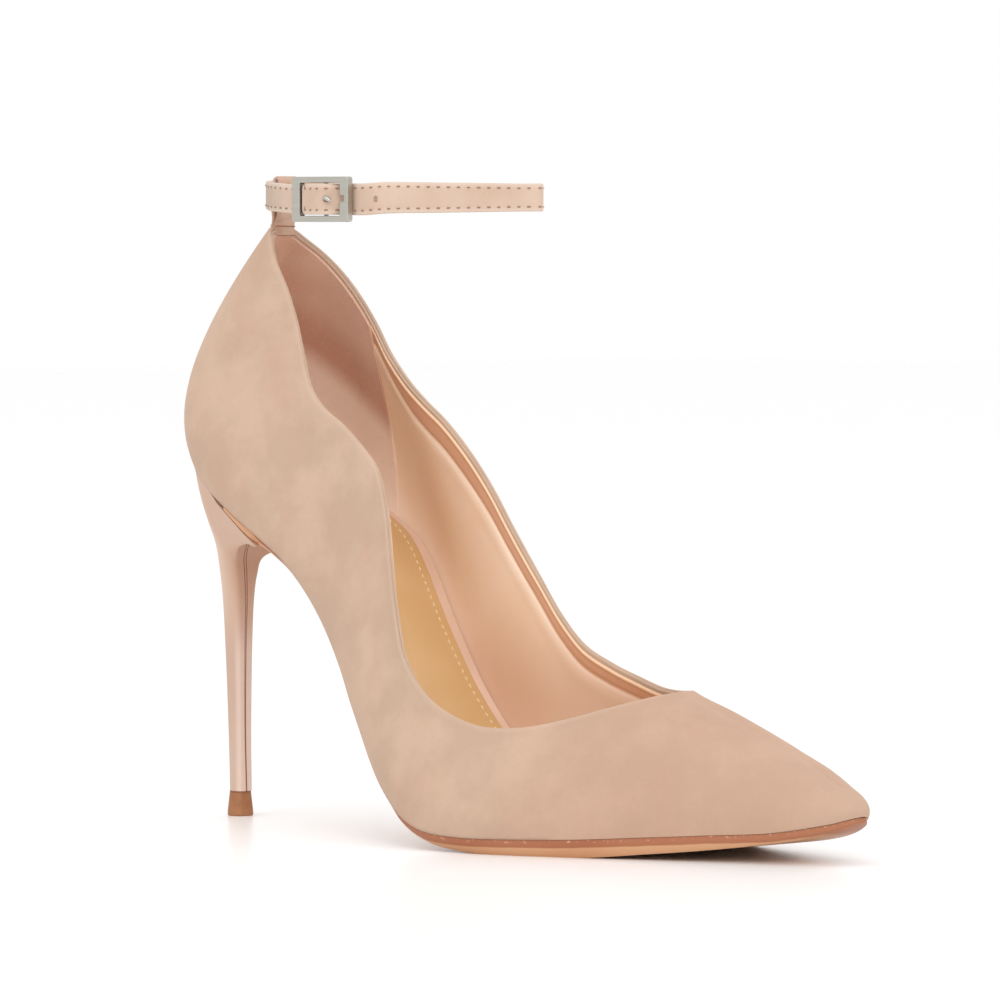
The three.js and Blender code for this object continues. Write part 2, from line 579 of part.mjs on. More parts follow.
function strapGeometry() {
  const rows = strapRows();
  const path = curve(rows.map((r) => r.point));
  const steps = (rows.length - 1) * 4;
  const rings = [];
  for (let k = 0; k <= steps; k += 1) {
    const t = k / steps;
    const point = path.getPoint(t);
    const along = path.getTangent(t).setZ(0).normalize();
    const side = plan(along.y, -along.x);
    const place = t * (rows.length - 1);
    const i = Math.min(Math.floor(place), rows.length - 2);
    const part = place - i;
    const width = rows[i].width * (1 - part) + rows[i + 1].width * part;
    const thick = rows[i].thick * (1 - part) + rows[i + 1].thick * part;
    const corner = (across, up) => point.clone().addScaledVector(side, across * thick / 2)
      .add(new THREE.Vector3(0, 0, up * width / 2));
    rings.push([corner(1, 1), corner(1, -1), corner(-1, -1), corner(-1, 1)]);
  }
  const slot = toBuckle(new THREE.BoxGeometry(2.6, 1.9, 3.6).translate(PIN.s + 1.0, 0, 1.95));
  const hole = new THREE.CylinderGeometry(STRAP_HOLE, STRAP_HOLE, 6, 16);
  hole.rotateX(Math.PI / 2).translate(SPARE_HOLE_AT, 0, -0.9);
  return fromSolid(solid(loft(rings)).subtract(solid(slot)).subtract(solid(toBuckle(hole))));
}

function roundedRectangle(target, x, y, width, height, radius) {
  target.moveTo(x + radius, y);
  target.lineTo(x + width - radius, y);
  target.absarc(x + width - radius, y + radius, radius, -Math.PI / 2, 0, false);
  target.lineTo(x + width, y + height - radius);
  target.absarc(x + width - radius, y + height - radius, radius, 0, Math.PI / 2, false);
  target.lineTo(x + radius, y + height);
  target.absarc(x + radius, y + height - radius, radius, Math.PI / 2, Math.PI, false);
  target.lineTo(x, y + radius);
  target.absarc(x + radius, y + radius, radius, Math.PI, 1.5 * Math.PI, false);
  return target;
}

function buckleFrameGeometry() {
  const { length, height, endBar, sideBar, inner, outer, radius, innerRadius, bevel } = FRAME;
  const outline = roundedRectangle(new THREE.Shape(), -length / 2, -height / 2, length, height, radius);
  const opening = new THREE.Path();
  const inside = { long: length - 2 * endBar, high: height - 2 * sideBar };
  roundedRectangle(opening, -inside.long / 2, -inside.high / 2, inside.long, inside.high, innerRadius);
  outline.holes.push(opening);
  const frame = new THREE.ExtrudeGeometry(outline, {
    depth: outer - inner - 2 * bevel,
    curveSegments: 4,
    bevelThickness: bevel,
    bevelSize: bevel,
    bevelOffset: -bevel,
    bevelSegments: 2,
  });
  frame.translate(0, 0, inner + bevel);
  const pin = new THREE.CylinderGeometry(PIN.radius, PIN.radius, height - sideBar, 12);
  pin.translate(PIN.s, 0, PIN.n);
  return fromSolid(solid(toBuckle(frame)).add(solid(toBuckle(pin))));
}

// The prong hooks through the strap's hole and rests on the strap
function prongGeometry() {
  const { width, thick, from, to, tipDrop, crest, shoulder } = PRONG;
  const side = new THREE.Shape();
  side.moveTo(from, 1.0);
  side.lineTo(from + 0.9, 0.9);
  side.lineTo(from + 1.2, shoulder);
  side.quadraticCurveTo(from + 1.6, crest, from + 2.6, crest);
  side.lineTo(to, crest - tipDrop);
  side.lineTo(to, crest - tipDrop + thick * 0.7);
  side.lineTo(from + 2.6, crest + thick);
  side.quadraticCurveTo(from + 0.6, crest + thick, from + 0.2, shoulder);
  side.closePath();
  const prong = new THREE.ExtrudeGeometry(side, { depth: width, bevelEnabled: false, curveSegments: 6 });
  prong.translate(0, 0, -width / 2);
  prong.applyMatrix4(new THREE.Matrix4().makeBasis(
    new THREE.Vector3(1, 0, 0), new THREE.Vector3(0, 0, 1), new THREE.Vector3(0, -1, 0),
  ));
  return toBuckle(prong);
}

// Leather loop on the back of the collar that carries the strap
function tabGeometry() {
  const { width, leather, backX, frontX, fromZ, baseZ, topZ, middleY } = TAB;
  const outline = roundedRectangle(new THREE.Shape(), backX, fromZ, frontX - backX, topZ + leather - fromZ, 0.9);
  const opening = new THREE.Path();
  roundedRectangle(opening, backX + leather, baseZ, frontX - backX - 2 * leather, topZ - baseZ, 0.4);
  outline.holes.push(opening);
  const tab = new THREE.ExtrudeGeometry(outline, { depth: width, bevelEnabled: false, curveSegments: 5 });
  tab.translate(0, 0, -width / 2);
  tab.applyMatrix4(new THREE.Matrix4().makeBasis(
    new THREE.Vector3(1, 0, 0), new THREE.Vector3(0, 0, 1), new THREE.Vector3(0, -1, 0),
  ));
  return tab.translate(0, middleY, 0);
}

function insoleGeometry() {
  const edge = () => WALL + GAP;
  return plate(INSOLE_FROM, INSOLE_TO, 46, true, edge, edge, 0, INSOLE_THICK);
}

function sockGeometry() {
  const outerEdge = () => WALL + SOCK_OUTER;
  const innerEdge = () => WALL + SOCK_INNER;
  const lower = INSOLE_THICK + GAP;
  return plate(SOCK_FROM, SOCK_TO, 40, true, outerEdge, innerEdge, lower, lower + SOCK_THICK);
}

const suede = new THREE.MeshStandardMaterial({ color: 0xd9b29c, roughness: 0.95, metalness: 0 });
const heelLeather = new THREE.MeshStandardMaterial({ color: 0xd8b3a0, roughness: 0.7, metalness: 0 });
const soleLeather = new THREE.MeshStandardMaterial({ color: 0xe3b48d, roughness: 0.55, metalness: 0 });
const topPieceRubber = new THREE.MeshStandardMaterial({ color: 0x8f5a38, roughness: 0.6, metalness: 0 });
const sockLeather = new THREE.MeshStandardMaterial({ color: 0xd08f4e, roughness: 0.5, metalness: 0 });
const insoleLeather = new THREE.MeshStandardMaterial({ color: 0xdfa988, roughness: 0.85, metalness: 0 });
const steel = new THREE.MeshStandardMaterial({ color: 0xb9bbb2, roughness: 0.35, metalness: 1 });

const shoe = new THREE.Group();
const parts = [
  ['upper', upperGeometry(), suede],
  ['outsole', outsoleGeometry(), soleLeather],
  ['heel', heelGeometry(), heelLeather],
  ['top_piece', topPieceGeometry(), topPieceRubber],
  ['insole', insoleGeometry(), insoleLeather],
  ['sock', sockGeometry(), sockLeather],
  ['ankle_strap', strapGeometry(), suede],
  ['strap_tab', tabGeometry(), suede],
  ['buckle_frame', buckleFrameGeometry(), steel],
  ['buckle_prong', prongGeometry(), steel],
];
for (const [name, geometry, material] of parts) {
  const mesh = new THREE.Mesh(geometry, material);
  mesh.name = name;
  shoe.add(mesh);
}
shoe.position.set(-MIDDLE_X, -MIDDLE_Y, 0);
shoe.updateMatrixWorld(true);

export default shoe;
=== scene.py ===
"""Ankle strap pump in suede, one right shoe standing empty on its sole.

Lengths in the tables are millimetres, x from the back of the heel seat, y to the inner side,
z from the floor. Everything is moved into the shared frame and into metres when it is built.
"""
import functools
import math

import bmesh
import bpy
import numpy as np
from mathutils import Matrix, Vector


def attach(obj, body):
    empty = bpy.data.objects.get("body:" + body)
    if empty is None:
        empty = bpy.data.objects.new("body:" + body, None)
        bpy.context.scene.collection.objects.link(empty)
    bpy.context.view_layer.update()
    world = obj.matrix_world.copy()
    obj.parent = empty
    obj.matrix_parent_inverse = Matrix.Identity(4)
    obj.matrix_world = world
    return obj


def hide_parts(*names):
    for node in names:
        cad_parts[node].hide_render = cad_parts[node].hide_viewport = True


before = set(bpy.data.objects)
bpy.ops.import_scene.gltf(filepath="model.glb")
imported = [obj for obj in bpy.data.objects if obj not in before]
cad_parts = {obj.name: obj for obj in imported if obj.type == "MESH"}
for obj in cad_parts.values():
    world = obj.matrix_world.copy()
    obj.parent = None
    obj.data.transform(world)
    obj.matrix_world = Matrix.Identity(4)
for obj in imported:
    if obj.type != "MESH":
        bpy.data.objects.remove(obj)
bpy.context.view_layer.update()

bl_info = {
    "name": "Ankle strap pump",
    "version": (1, 0, 0),
    "blender": (4, 5, 0),
    "location": "View3D > Sidebar > Pump",
    "description": "Builds a suede stiletto pump with an ankle strap and its plain studio",
    "category": "Object",
}

MIDDLE_X, MIDDLE_Y = 114.85, -1.45      # middle of the shoe in the tables' frame
GAP = 0.3                               # clearance between curved pieces
WALL = 1.8                              # upper with its lining


def table(names, *rows):
    """Rows of a table as dicts with named columns."""
    keys = names.split()
    return [dict(zip(keys, row)) for row in rows]


# Long profile: height of the feather line and depth of the sole under it
PROFILE = table(
    "x feather sole",
    (-3, 102.6, 0.9), (8, 97.0, 0.9), (21.6, 89.4, 0.9), (30, 84.5, 1.2), (44, 76.1, 3.0),
    (51.5, 70.7, 3.0), (60.5, 61.5, 3.0), (72.5, 47.0, 3.0), (84, 32.9, 3.0), (96.5, 20.0, 3.0),
    (110, 10.2, 2.4), (116, 7.2, 2.4), (122, 5.3, 2.6), (128, 4.4, 3.2), (139, 4.0, 4.0),
    (164, 4.7, 4.7), (181, 5.8, 4.3), (197, 6.9, 3.7), (212.5, 8.0, 2.5), (225, 10.4, 1.9),
    (231, 12.4, 1.3), (236, 14.4, 1.2),
)
FLAT_FROM, FLAT_TO = 139, 164

# Ribs of the upper: where each starts on the feather line and where it ends on the topline
RIB = "foot_x foot_y top_x top_y top_z"
BACK = table(RIB, (0.4, 0, 25.4, -1.4, 157.5))[0]
LATERAL = table(
    RIB,
    (2.0, -8.6, 26.5, -5.0, 157.5), (7.6, -16.6, 28.8, -8.2, 157.0),
    (15.6, -22.0, 31.6, -10.4, 154.6), (24.0, -24.8, 35.4, -12.3, 149.0),
    (32.0, -25.6, 42.0, -14.4, 141.9), (40.0, -25.4, 48.4, -16.5, 133.0),
    (47.0, -24.5, 52.8, -18.0, 124.0), (53.5, -23.4, 56.6, -19.2, 116.3),
    (60.0, -22.6, 62.4, -20.3, 111.1), (67.0, -22.8, 71.1, -21.0, 106.5),
    (75.0, -24.6, 78.8, -21.6, 101.4), (82.0, -27.2, 85.3, -22.0, 95.9),
    (88.5, -29.6, 89.1, -22.6, 88.0), (95.0, -32.3, 93.8, -25.0, 74.3),
    (101.5, -35.0, 98.9, -27.6, 60.0), (108.0, -37.2, 105.2, -30.7, 49.0),
    (115.5, -39.0, 114.8, -32.9, 40.0), (124.0, -39.6, 124.9, -32.7, 34.5),
    (134.0, -38.2, 134.5, -30.0, 31.4), (145.0, -35.2, 144.0, -25.0, 31.4),
    (156.0, -30.7, 154.0, -19.0, 33.8), (166.0, -26.2, 163.4, -12.2, 37.1),
    (174.5, -22.2, 170.2, -3.6, 39.8),
)
MEDIAL = table(
    RIB,
    (2.0, 8.6, 26.2, 2.3, 157.3), (7.6, 16.8, 28.3, 6.3, 154.2),
    (15.6, 22.6, 31.2, 10.9, 149.8), (24.0, 25.8, 35.2, 13.6, 144.9),
    (32.0, 27.2, 40.0, 15.0, 139.2), (40.0, 29.0, 45.4, 15.9, 132.0),
    (47.0, 29.6, 50.1, 16.9, 124.1), (54.0, 28.6, 56.0, 17.9, 116.9),
    (61.0, 26.6, 61.8, 18.7, 111.7), (68.0, 24.6, 69.0, 19.5, 106.2),
    (75.0, 23.2, 77.7, 20.0, 98.2), (82.0, 22.4, 85.3, 20.7, 89.2),
    (89.0, 22.2, 92.6, 21.6, 78.5), (96.0, 22.6, 100.3, 23.0, 67.2),
    (103.0, 23.8, 106.8, 25.3, 56.4), (110.5, 26.0, 113.2, 27.5, 48.8),
    (119.0, 29.0, 122.0, 29.5, 44.1), (129.0, 32.2, 132.0, 29.8, 41.0),
    (139.0, 35.0, 142.0, 27.6, 39.2), (149.0, 36.8, 151.5, 23.5, 39.1),
    (159.0, 36.8, 160.0, 18.6, 39.7), (169.0, 35.2, 167.5, 13.0, 40.4),
    (175.0, 33.8, 170.8, 9.6, 40.8),
)

# The vamp: feet of its ribs on both sides and the ridge point where they meet
VAMP = table(
    "x out_y in_x in_y ridge_x ridge_y ridge_z",
    (181.5, -18.8, 181.0, 32.2, 172.4, 4.6, 40.9), (190.0, -15.0, 189.5, 29.6, 181.5, 6.4, 36.7),
    (199.5, -10.4, 199.0, 26.4, 192.0, 7.6, 32.6), (209.0, -5.8, 209.0, 22.9, 202.5, 8.3, 28.6),
    (218.0, -1.6, 218.5, 19.2, 211.5, 8.9, 25.1), (224.6, 2.4, 225.0, 15.8, 217.5, 9.3, 22.0),
    (229.2, 5.8, 229.4, 12.7, 221.4, 9.4, 20.1),
)
TOE = table("x y ridge_x ridge_y ridge_z", (231.0, 9.4, 223.4, 9.4, 19.2))[0]

# Shape of a rib between its ends: bulge, its height, reach of the top over the foot, drop
RIB_SHAPE = table(
    "at bulge rise reach drop",
    (0.0, 8.6, 0.24, 0.78, 0.35), (0.15, 6.2, 0.27, 0.6, 0.34), (0.4, 3.8, 0.28, 0.25, 0.33),
    (0.62, 2.8, 0.4, 0.3, 0.28), (0.74, 2.4, 0.48, 0.42, 0.14), (0.8, 2.2, 0.52, 0.5, 0.02),
    (0.9, 2.0, 0.55, 0.5, 0.0), (1.0, 2.0, 0.5, 0.4, 0.0),
)

# Inside the upper, in millimetres in from its outer face or down from the topline
RIM_STEPS = 5                           # mesh steps over a rounded top edge
SHELL_ROLL = 0.5
FACING = {"from": 0.04, "to": 0.75, "roll": 0.35}
LINING = {"from": 0.25, "face": 1.95, "roll": 0.2}
LIP = {"at": 0.3, "wide": 0.35, "high": 0.25}
CREASE = table("row depth", (6, 5.6), (8, 7.2), (11, 6.8), (14, 5.2), (18, 4.6), (24, 4.4))
GROOVE = {"wide": 0.5, "deep": 0.4}
SWELL = {"at": 3.0, "wide": 2.2, "high": 0.25}
GRIP = {"from": 1.6, "face": 2.42, "roll": 0.2}

# Heel: one ring per row, from the tip up to the seat
HEEL = table(
    "back_x back_z front_x front_z half breast scoop seat",
    (5.1, 6.7, 10.5, 6.7, 2.7, 0.5, 0, 0), (4.6, 20, 10.3, 20, 2.75, 0.5, 0, 0),
    (4.0, 34, 10.3, 34, 2.95, 0.5, 0, 0), (3.4, 47, 10.4, 47, 3.3, 0.5, 0, 0),
    (2.8, 58, 10.6, 57.5, 3.8, 0.5, 0, 0.03), (2.3, 66, 10.9, 64.5, 4.8, 0.54, 0.3, 0.08),
    (1.8, 74, 12.0, 69.5, 6.6, 0.6, 1.0, 0.2), (1.4, 82, 19.0, 72.4, 11.8, 0.74, 5, 0.45),
    (1.1, 90, 31.5, 74.2, 18.4, 0.9, 10.5, 0.78),
)
HEEL_FRONT = 42.5
# Seam of the heel cover down the breast: where it runs across, by height
HEEL_SEAM = table("z y apart", (7, -0.1, 0.2), (26, -0.35, 0.25), (45, -0.3, 0.4),
                  (58, -0.2, 0.6), (66, -0.5, 0.8), (72, -1.5, 0.9))
HEEL_SEAM_RADIUS = 0.1

SOLE_BACK, SOLE_TIP = 30, 230.3
SEAT_STEP = 3
EDGE_HEIGHT = 1.0
SOLE_BEVEL = 1.9
SOLE_LEAST = 0.6    # thickness that is kept everywhere
SOLE_TUCK = 0.22    # the strip reaches this far up into the joint with the upper
SOLE_PALE = 1.6     # over the heel the waxed strip is shifted off, so the edge is pale there
SOLE_INSET = table("x inset", (25, 0.4), (38, 0.5), (46, 1.6), (95, 1.6), (116, 0.6), (128, 0.3),
                   (240, 0.3))
INSOLE_THICK, INSOLE_INSET = 2.4, 1.85    # its edge touches the lining
INSOLE_FROM, INSOLE_TO = 2.9, 228
SOCK_THICK = 0.8
SOCK_FROM, SOCK_TO = 7, 214
SOCK_STITCH_FROM, SOCK_STITCH_TO = 14, 200
SOCK_OUTER, SOCK_INNER = 3.4, 3.6      # the sock's edges from the lining
TOP_PIECE_HEIGHT = 6.4
TOP_PIECE = {"x": 7.9, "long": 3.5, "half": 3.4, "front": 3.0}
TOP_PIECE_RINGS = table("z grow", (0.0, 0.93), (0.35, 1.0), (1.6, 0.985),
                        (TOP_PIECE_HEIGHT - 0.3, 0.84), (TOP_PIECE_HEIGHT, 0.80))
TIP_SEAM = {"z": 6.55, "long": 2.75, "front": 2.45, "radius": 0.18}

# Strap: from the fold round the buckle's pin, round the ankle to the tip
STRAP_Z = 165.4
BUCKLE_X, BUCKLE_Y, BUCKLE_Z, BUCKLE_TURN = 59.3, -15.6, 165.0, math.radians(2)
STRAP_START = table(
    "s n width thick",
    (-6.5, -2.4, 7.6, 0.7), (-3.0, -2.0, 7.6, 0.7), (0.3, -1.3, 7.6, 0.7), (1.55, -1.0, 7.6, 0.7),
    (1.95, -0.1, 7.6, 0.7), (1.5, 0.8, 7.6, 0.7), (0.3, 1.1, 7.6, 0.7), (-3.0, -0.35, 7.6, 0.8),
    (-6.5, -1.2, 7.6, 1.0), (-11.0, -1.3, 7.6, 1.3),
)
STRAP_ROUND = table(
    "x y width",
    (38.5, -13.0, 7.6), (32.6, -10.6, 7.6), (28.2, -7.6, 7.6), (25.5, -4.2, 7.6),
    (24.9, -0.6, 7.6), (25.5, 3.0, 7.6), (28.4, 7.2, 7.6), (34.5, 11.4, 7.6), (46, 15.0, 7.6),
    (60, 16.4, 7.5), (76, 15.0, 7.3), (92, 11.6, 7.1), (108, 7.2, 6.9), (117.5, 4.6, 7.2),
    (121.0, 3.6, 7.2), (122.3, 2.0, 7.2), (121.0, 0.4, 7.2), (117.5, -0.8, 7.2),
    (107, -4.2, 7.5), (93, -9.0, 7.9), (81, -12.8, 8.2),
)
STRAP_THICK = 1.4
STRAP_LIFT, STRAP_LIFT_AT, STRAP_LIFT_OVER = 0.8, 25.0, 9.0    # the strap sits higher at the back
STRAP_END = table(
    "s n width thick",
    (14.0, -1.3, 8.3, 1.4), (9.6, -1.6, 8.3, 1.4), (6.9, -1.5, 8.2, 1.4), (5.2, 0.2, 8.0, 1.4),
    (3.5, 1.8, 8.0, 1.4), (1.8, 2.5, 8.0, 1.4), (0.0, 2.5, 8.0, 1.4), (-2.5, 2.0, 8.0, 1.4),
    (-6.6, 0.9, 8.0, 1.3),
)
SPARE_HOLE_AT, STRAP_HOLE = 18.3, 0.9
PRONG_HOLE_AT = 3.4
STITCH_FROM, STITCH_END = 13, 1.3       # from the fold at the pin, and from the tip
THREAD_PROUD = 0.03
TIP_CORNER = 1.1
PRONG_SLOT = {"radius": 0.85, "under": 0.75, "back": 0.4}
HOLE_RIM = {"radius": 0.98, "thick": 0.16, "sunk": 0.08}
NOTCH = {"s": (7.0, 9.25), "n": (-0.6, 2.2), "z": (-0.65, 1.1)}
FRAME = {"length": 21, "height": 11.8, "end_bar": 3.0, "side_bar": 1.6, "inner": -0.2, "outer": 1.8,
         "corner": 0.7, "window": 0.35}
PIN = {"s": 0.7, "n": -0.1, "radius": 0.6}
PRONG = table("s n z radius", (0.7, -0.9, 0.2, 0.5), (2.2, 0.0, 0.25, 0.5), (3.2, 2.2, 0.3, 0.5),
              (3.7, 3.4, 0.4, 0.55), (4.5, 3.9, 0.35, 0.6), (5.3, 3.8, 0.0, 0.6),
              (5.9, 3.3, -0.45, 0.4))
# Tab: its middle line from the collar up in front of the strap, over it and down behind it
TAB_LEATHER = 1.1
TAB_CREASE = {"z": 159.6, "slant": 0.8, "wide": 0.3, "deep": 0.25}
TAB_SEAM = {"x": 27.75, "z": 157.9, "from": -4.6, "to": 2.2, "radius": 0.13}
TAB = table(
    "x y z width",
    (27.1, -1.3, 155.6, 7.2), (27.15, -1.2, 158, 7.0), (27.4, -0.8, 160.3, 6.2),
    (27.6, -0.6, 162, 6.4), (27.6, -0.2, 166.5, 7.3), (27.35, 0.3, 169.6, 7.5),
    (26.4, 0.6, 170.55, 7.0), (24.9, 0.7, 170.5, 6.2), (24.0, 0.7, 169.7, 5.8),
    (23.7, 0.5, 166.5, 5.8), (23.8, 0.1, 162.8, 5.2), (24.7, -0.4, 160.8, 5.4),
    (25.7, -0.9, 159.6, 6.2), (26.0, -1.2, 158, 7.0), (26.0, -1.3, 155.6, 7.2),
)


# Stage, in metres: lamps by their place to the right, towards the camera and up from the shoe
LAMPS = table("name right back up size", ("key", -1.1, 0.9, 1.3, 1.0), ("top", 0, 0.2, 1.7, 1.4),
              ("fill", 0.25, 1.5, 0.7, 0.9))
TOP_SHARE = 0.8
SHOE_MIDDLE = 0.06
CAMERA_AT = (1.381154, -1.298553, 0.161607)


# Shapes shared by the pieces

def column(rows, key, name, at):
    """Smooth value of a table's column at a place on its key column."""
    i = 0
    while i < len(rows) - 2 and rows[i + 1][key] < at:
        i += 1
    last = len(rows) - 1

    def slope(a, b):
        return (rows[b][name] - rows[a][name]) / (rows[b][key] - rows[a][key])

    step = rows[i + 1][key] - rows[i][key]
    t = min(max((at - rows[i][key]) / step, 0), 1)
    start, end = slope(max(i - 1, 0), i + 1), slope(i, min(i + 2, last))
    t2, t3 = t * t, t * t * t
    return (rows[i][name] * (2 * t3 - 3 * t2 + 1) + step * start * (t3 - 2 * t2 + t)
            + rows[i + 1][name] * (3 * t2 - 2 * t3) + step * end * (t3 - t2))


def through(points, t, closed=False):
    """Point of a centripetal curve through the points; t runs from 0 to 1."""
    count = len(points)
    place = t * (count if closed else count - 1)
    i = math.floor(place)
    part = place - i
    if not closed and i >= count - 1:
        i, part = count - 2, 1.0
    if closed:
        p0, p1, p2, p3 = (points[(i + k) % count] for k in (-1, 0, 1, 2))
    else:
        p1, p2 = points[i], points[i + 1]
        p0 = points[i - 1] if i else 2 * points[0] - points[1]
        p3 = points[i + 2] if i + 2 < count else 2 * points[-1] - points[-2]
    d0, d1, d2 = (max(float(((b - a) ** 2).sum()), 1e-12) ** 0.25
                  for a, b in ((p0, p1), (p1, p2), (p2, p3)))
    t1 = ((p1 - p0) / d0 - (p2 - p0) / (d0 + d1) + (p2 - p1) / d1) * d1
    t2 = ((p2 - p1) / d1 - (p3 - p1) / (d1 + d2) + (p3 - p2) / d2) * d1
    c2 = -3 * p1 + 3 * p2 - 2 * t1 - t2
    c3 = 2 * p1 - 2 * p2 + t1 + t2
    return p1 + part * (t1 + part * (c2 + part * c3))


def feather_z(x):
    return column(PROFILE, "x", "feather", x)


def sole_z(x):
    if FLAT_FROM <= x <= FLAT_TO:
        return 0.0
    return max(0.0, feather_z(x) - column(PROFILE, "x", "sole", x))


def vec(*values):
    return np.array(values, dtype=float)


FOOT = ([vec(BACK["foot_x"], BACK["foot_y"], 0)]
        + [vec(r["foot_x"], r["foot_y"], 0) for r in LATERAL]
        + [vec(r["x"], r["out_y"], 0) for r in VAMP]
        + [vec(TOE["x"], TOE["y"], 0)]
        + [vec(r["in_x"], r["in_y"], 0) for r in reversed(VAMP)]
        + [vec(r["foot_x"], r["foot_y"], 0) for r in reversed(MEDIAL)])
THROAT_ROW = len(LATERAL) + 1
SIDE_ROWS = THROAT_ROW + len(VAMP)
TOPLINE = ([vec(r["top_x"], r["top_y"], r["top_z"]) for r in reversed(LATERAL)]
           + [vec(BACK["top_x"], BACK["top_y"], BACK["top_z"])]
           + [vec(r["top_x"], r["top_y"], r["top_z"]) for r in MEDIAL]
           + [vec(VAMP[0]["ridge_x"], VAMP[0]["ridge_y"], VAMP[0]["ridge_z"])])
RIDGE = ([vec(r["ridge_x"], r["ridge_y"], r["ridge_z"]) for r in VAMP]
         + [vec(TOE["ridge_x"], TOE["ridge_y"], TOE["ridge_z"])])


def foot_at(row):
    """Feather line; rows count from the back seam, below zero on the outer side."""
    return through(FOOT, ((-row if row < 0 else 2 * SIDE_ROWS - row) / (2 * SIDE_ROWS)) % 1.0, True)


def foot_outwards(row):
    along = foot_at(row + 0.02) - foot_at(row - 0.02)
    out = vec(-along[1], along[0], 0)
    return out / np.linalg.norm(out)


def top_at(row):
    if abs(row) >= THROAT_ROW:
        return through(RIDGE, (abs(row) - THROAT_ROW) / len(VAMP))
    return through(TOPLINE, ((len(LATERAL) + row) / len(TOPLINE)) % 1.0, True)


def rib_curve(row, samples=90):
    """A rib from its top down to the feather line, as points and the distance from the top."""
    if abs(row) > SIDE_ROWS:
        row -= math.copysign(2 * SIDE_ROWS, row)
    foot = foot_at(row)
    foot[2] = feather_z(foot[0])
    top = top_at(row)
    rise = top[2] - foot[2]
    shape = {k: column(RIB_SHAPE, "at", k, abs(row) / SIDE_ROWS)
             for k in ("bulge", "rise", "reach", "drop")}
    low = foot + foot_outwards(row) * shape["bulge"] + vec(0, 0, shape["rise"] * rise)
    high = top + vec(foot[0] - top[0], foot[1] - top[1], 0) * shape["reach"]
    high[2] = top[2] - shape["drop"] * rise
    t = np.linspace(1, 0, samples)[:, None]
    points = ((1 - t) ** 3 * foot + 3 * (1 - t) ** 2 * t * low
              + 3 * (1 - t) * t ** 2 * high + t ** 3 * top)
    steps = np.linalg.norm(np.diff(points, axis=0), axis=1)
    return points, np.concatenate([[0], np.cumsum(steps)])


def rib_points(row, depths, rest, start):
    """Points of a rib at given distances below the top, then in even steps to the foot."""
    points, length = rib_curve(row)
    total = length[-1]
    fade = min(max((THROAT_ROW - abs(row)) / 1.5, 0), 1)
    near = np.array(depths) - start * (1 - fade)
    near = np.maximum(near, 0) * min(1.0, 0.5 * total / max(near[-1], 1e-6))
    wanted = np.concatenate([near, np.linspace(near[-1], total, rest + 1)[1:]])
    found = np.stack([np.interp(wanted, length, points[:, k]) for k in range(3)], axis=1)
    return found, wanted


def unit(vectors):
    return vectors / np.maximum(np.linalg.norm(vectors, axis=-1, keepdims=True), 1e-9)


def wall_lines(rows, depths, rest, start):
    """Rib points, outward normals, upward tangents and depths for a list of rows."""
    lines, normals, rising, depth = [], [], [], []
    reach = 0.06
    for row in rows:
        points, wanted = rib_points(row, depths, rest, start)
        ahead = rib_points(row + reach, depths, rest, start)[0]
        behind = rib_points(row - reach, depths, rest, start)[0]
        along = ahead - behind
        if abs(abs(row) - SIDE_ROWS) < 0.01:
            along[0] = along[2]
        down = np.gradient(points, axis=0)
        normal = unit(np.cross(unit(along), unit(down)))
        if abs(row) >= THROAT_ROW - 0.001:
            twin_points = rib_points(-row, depths, rest, start)[0]
            twin_along = (rib_points(-row + reach, depths, rest, start)[0]
                          - rib_points(-row - reach, depths, rest, start)[0])
            if abs(abs(row) - SIDE_ROWS) < 0.01:
                twin_along[0] = twin_along[2]
            twin = unit(np.cross(unit(twin_along), unit(np.gradient(twin_points, axis=0))))
            normal[0] = unit(normal[0] + twin[0])
        normal[-1, 2] = 0
        lines.append(points)
        normals.append(unit(normal))
        rising.append(unit(points[0] - points[1]))
        depth.append(wanted + max(abs(row) - THROAT_ROW, 0) * 9.0)
    return np.array(lines), np.array(normals), np.array(rising), np.array(depth)


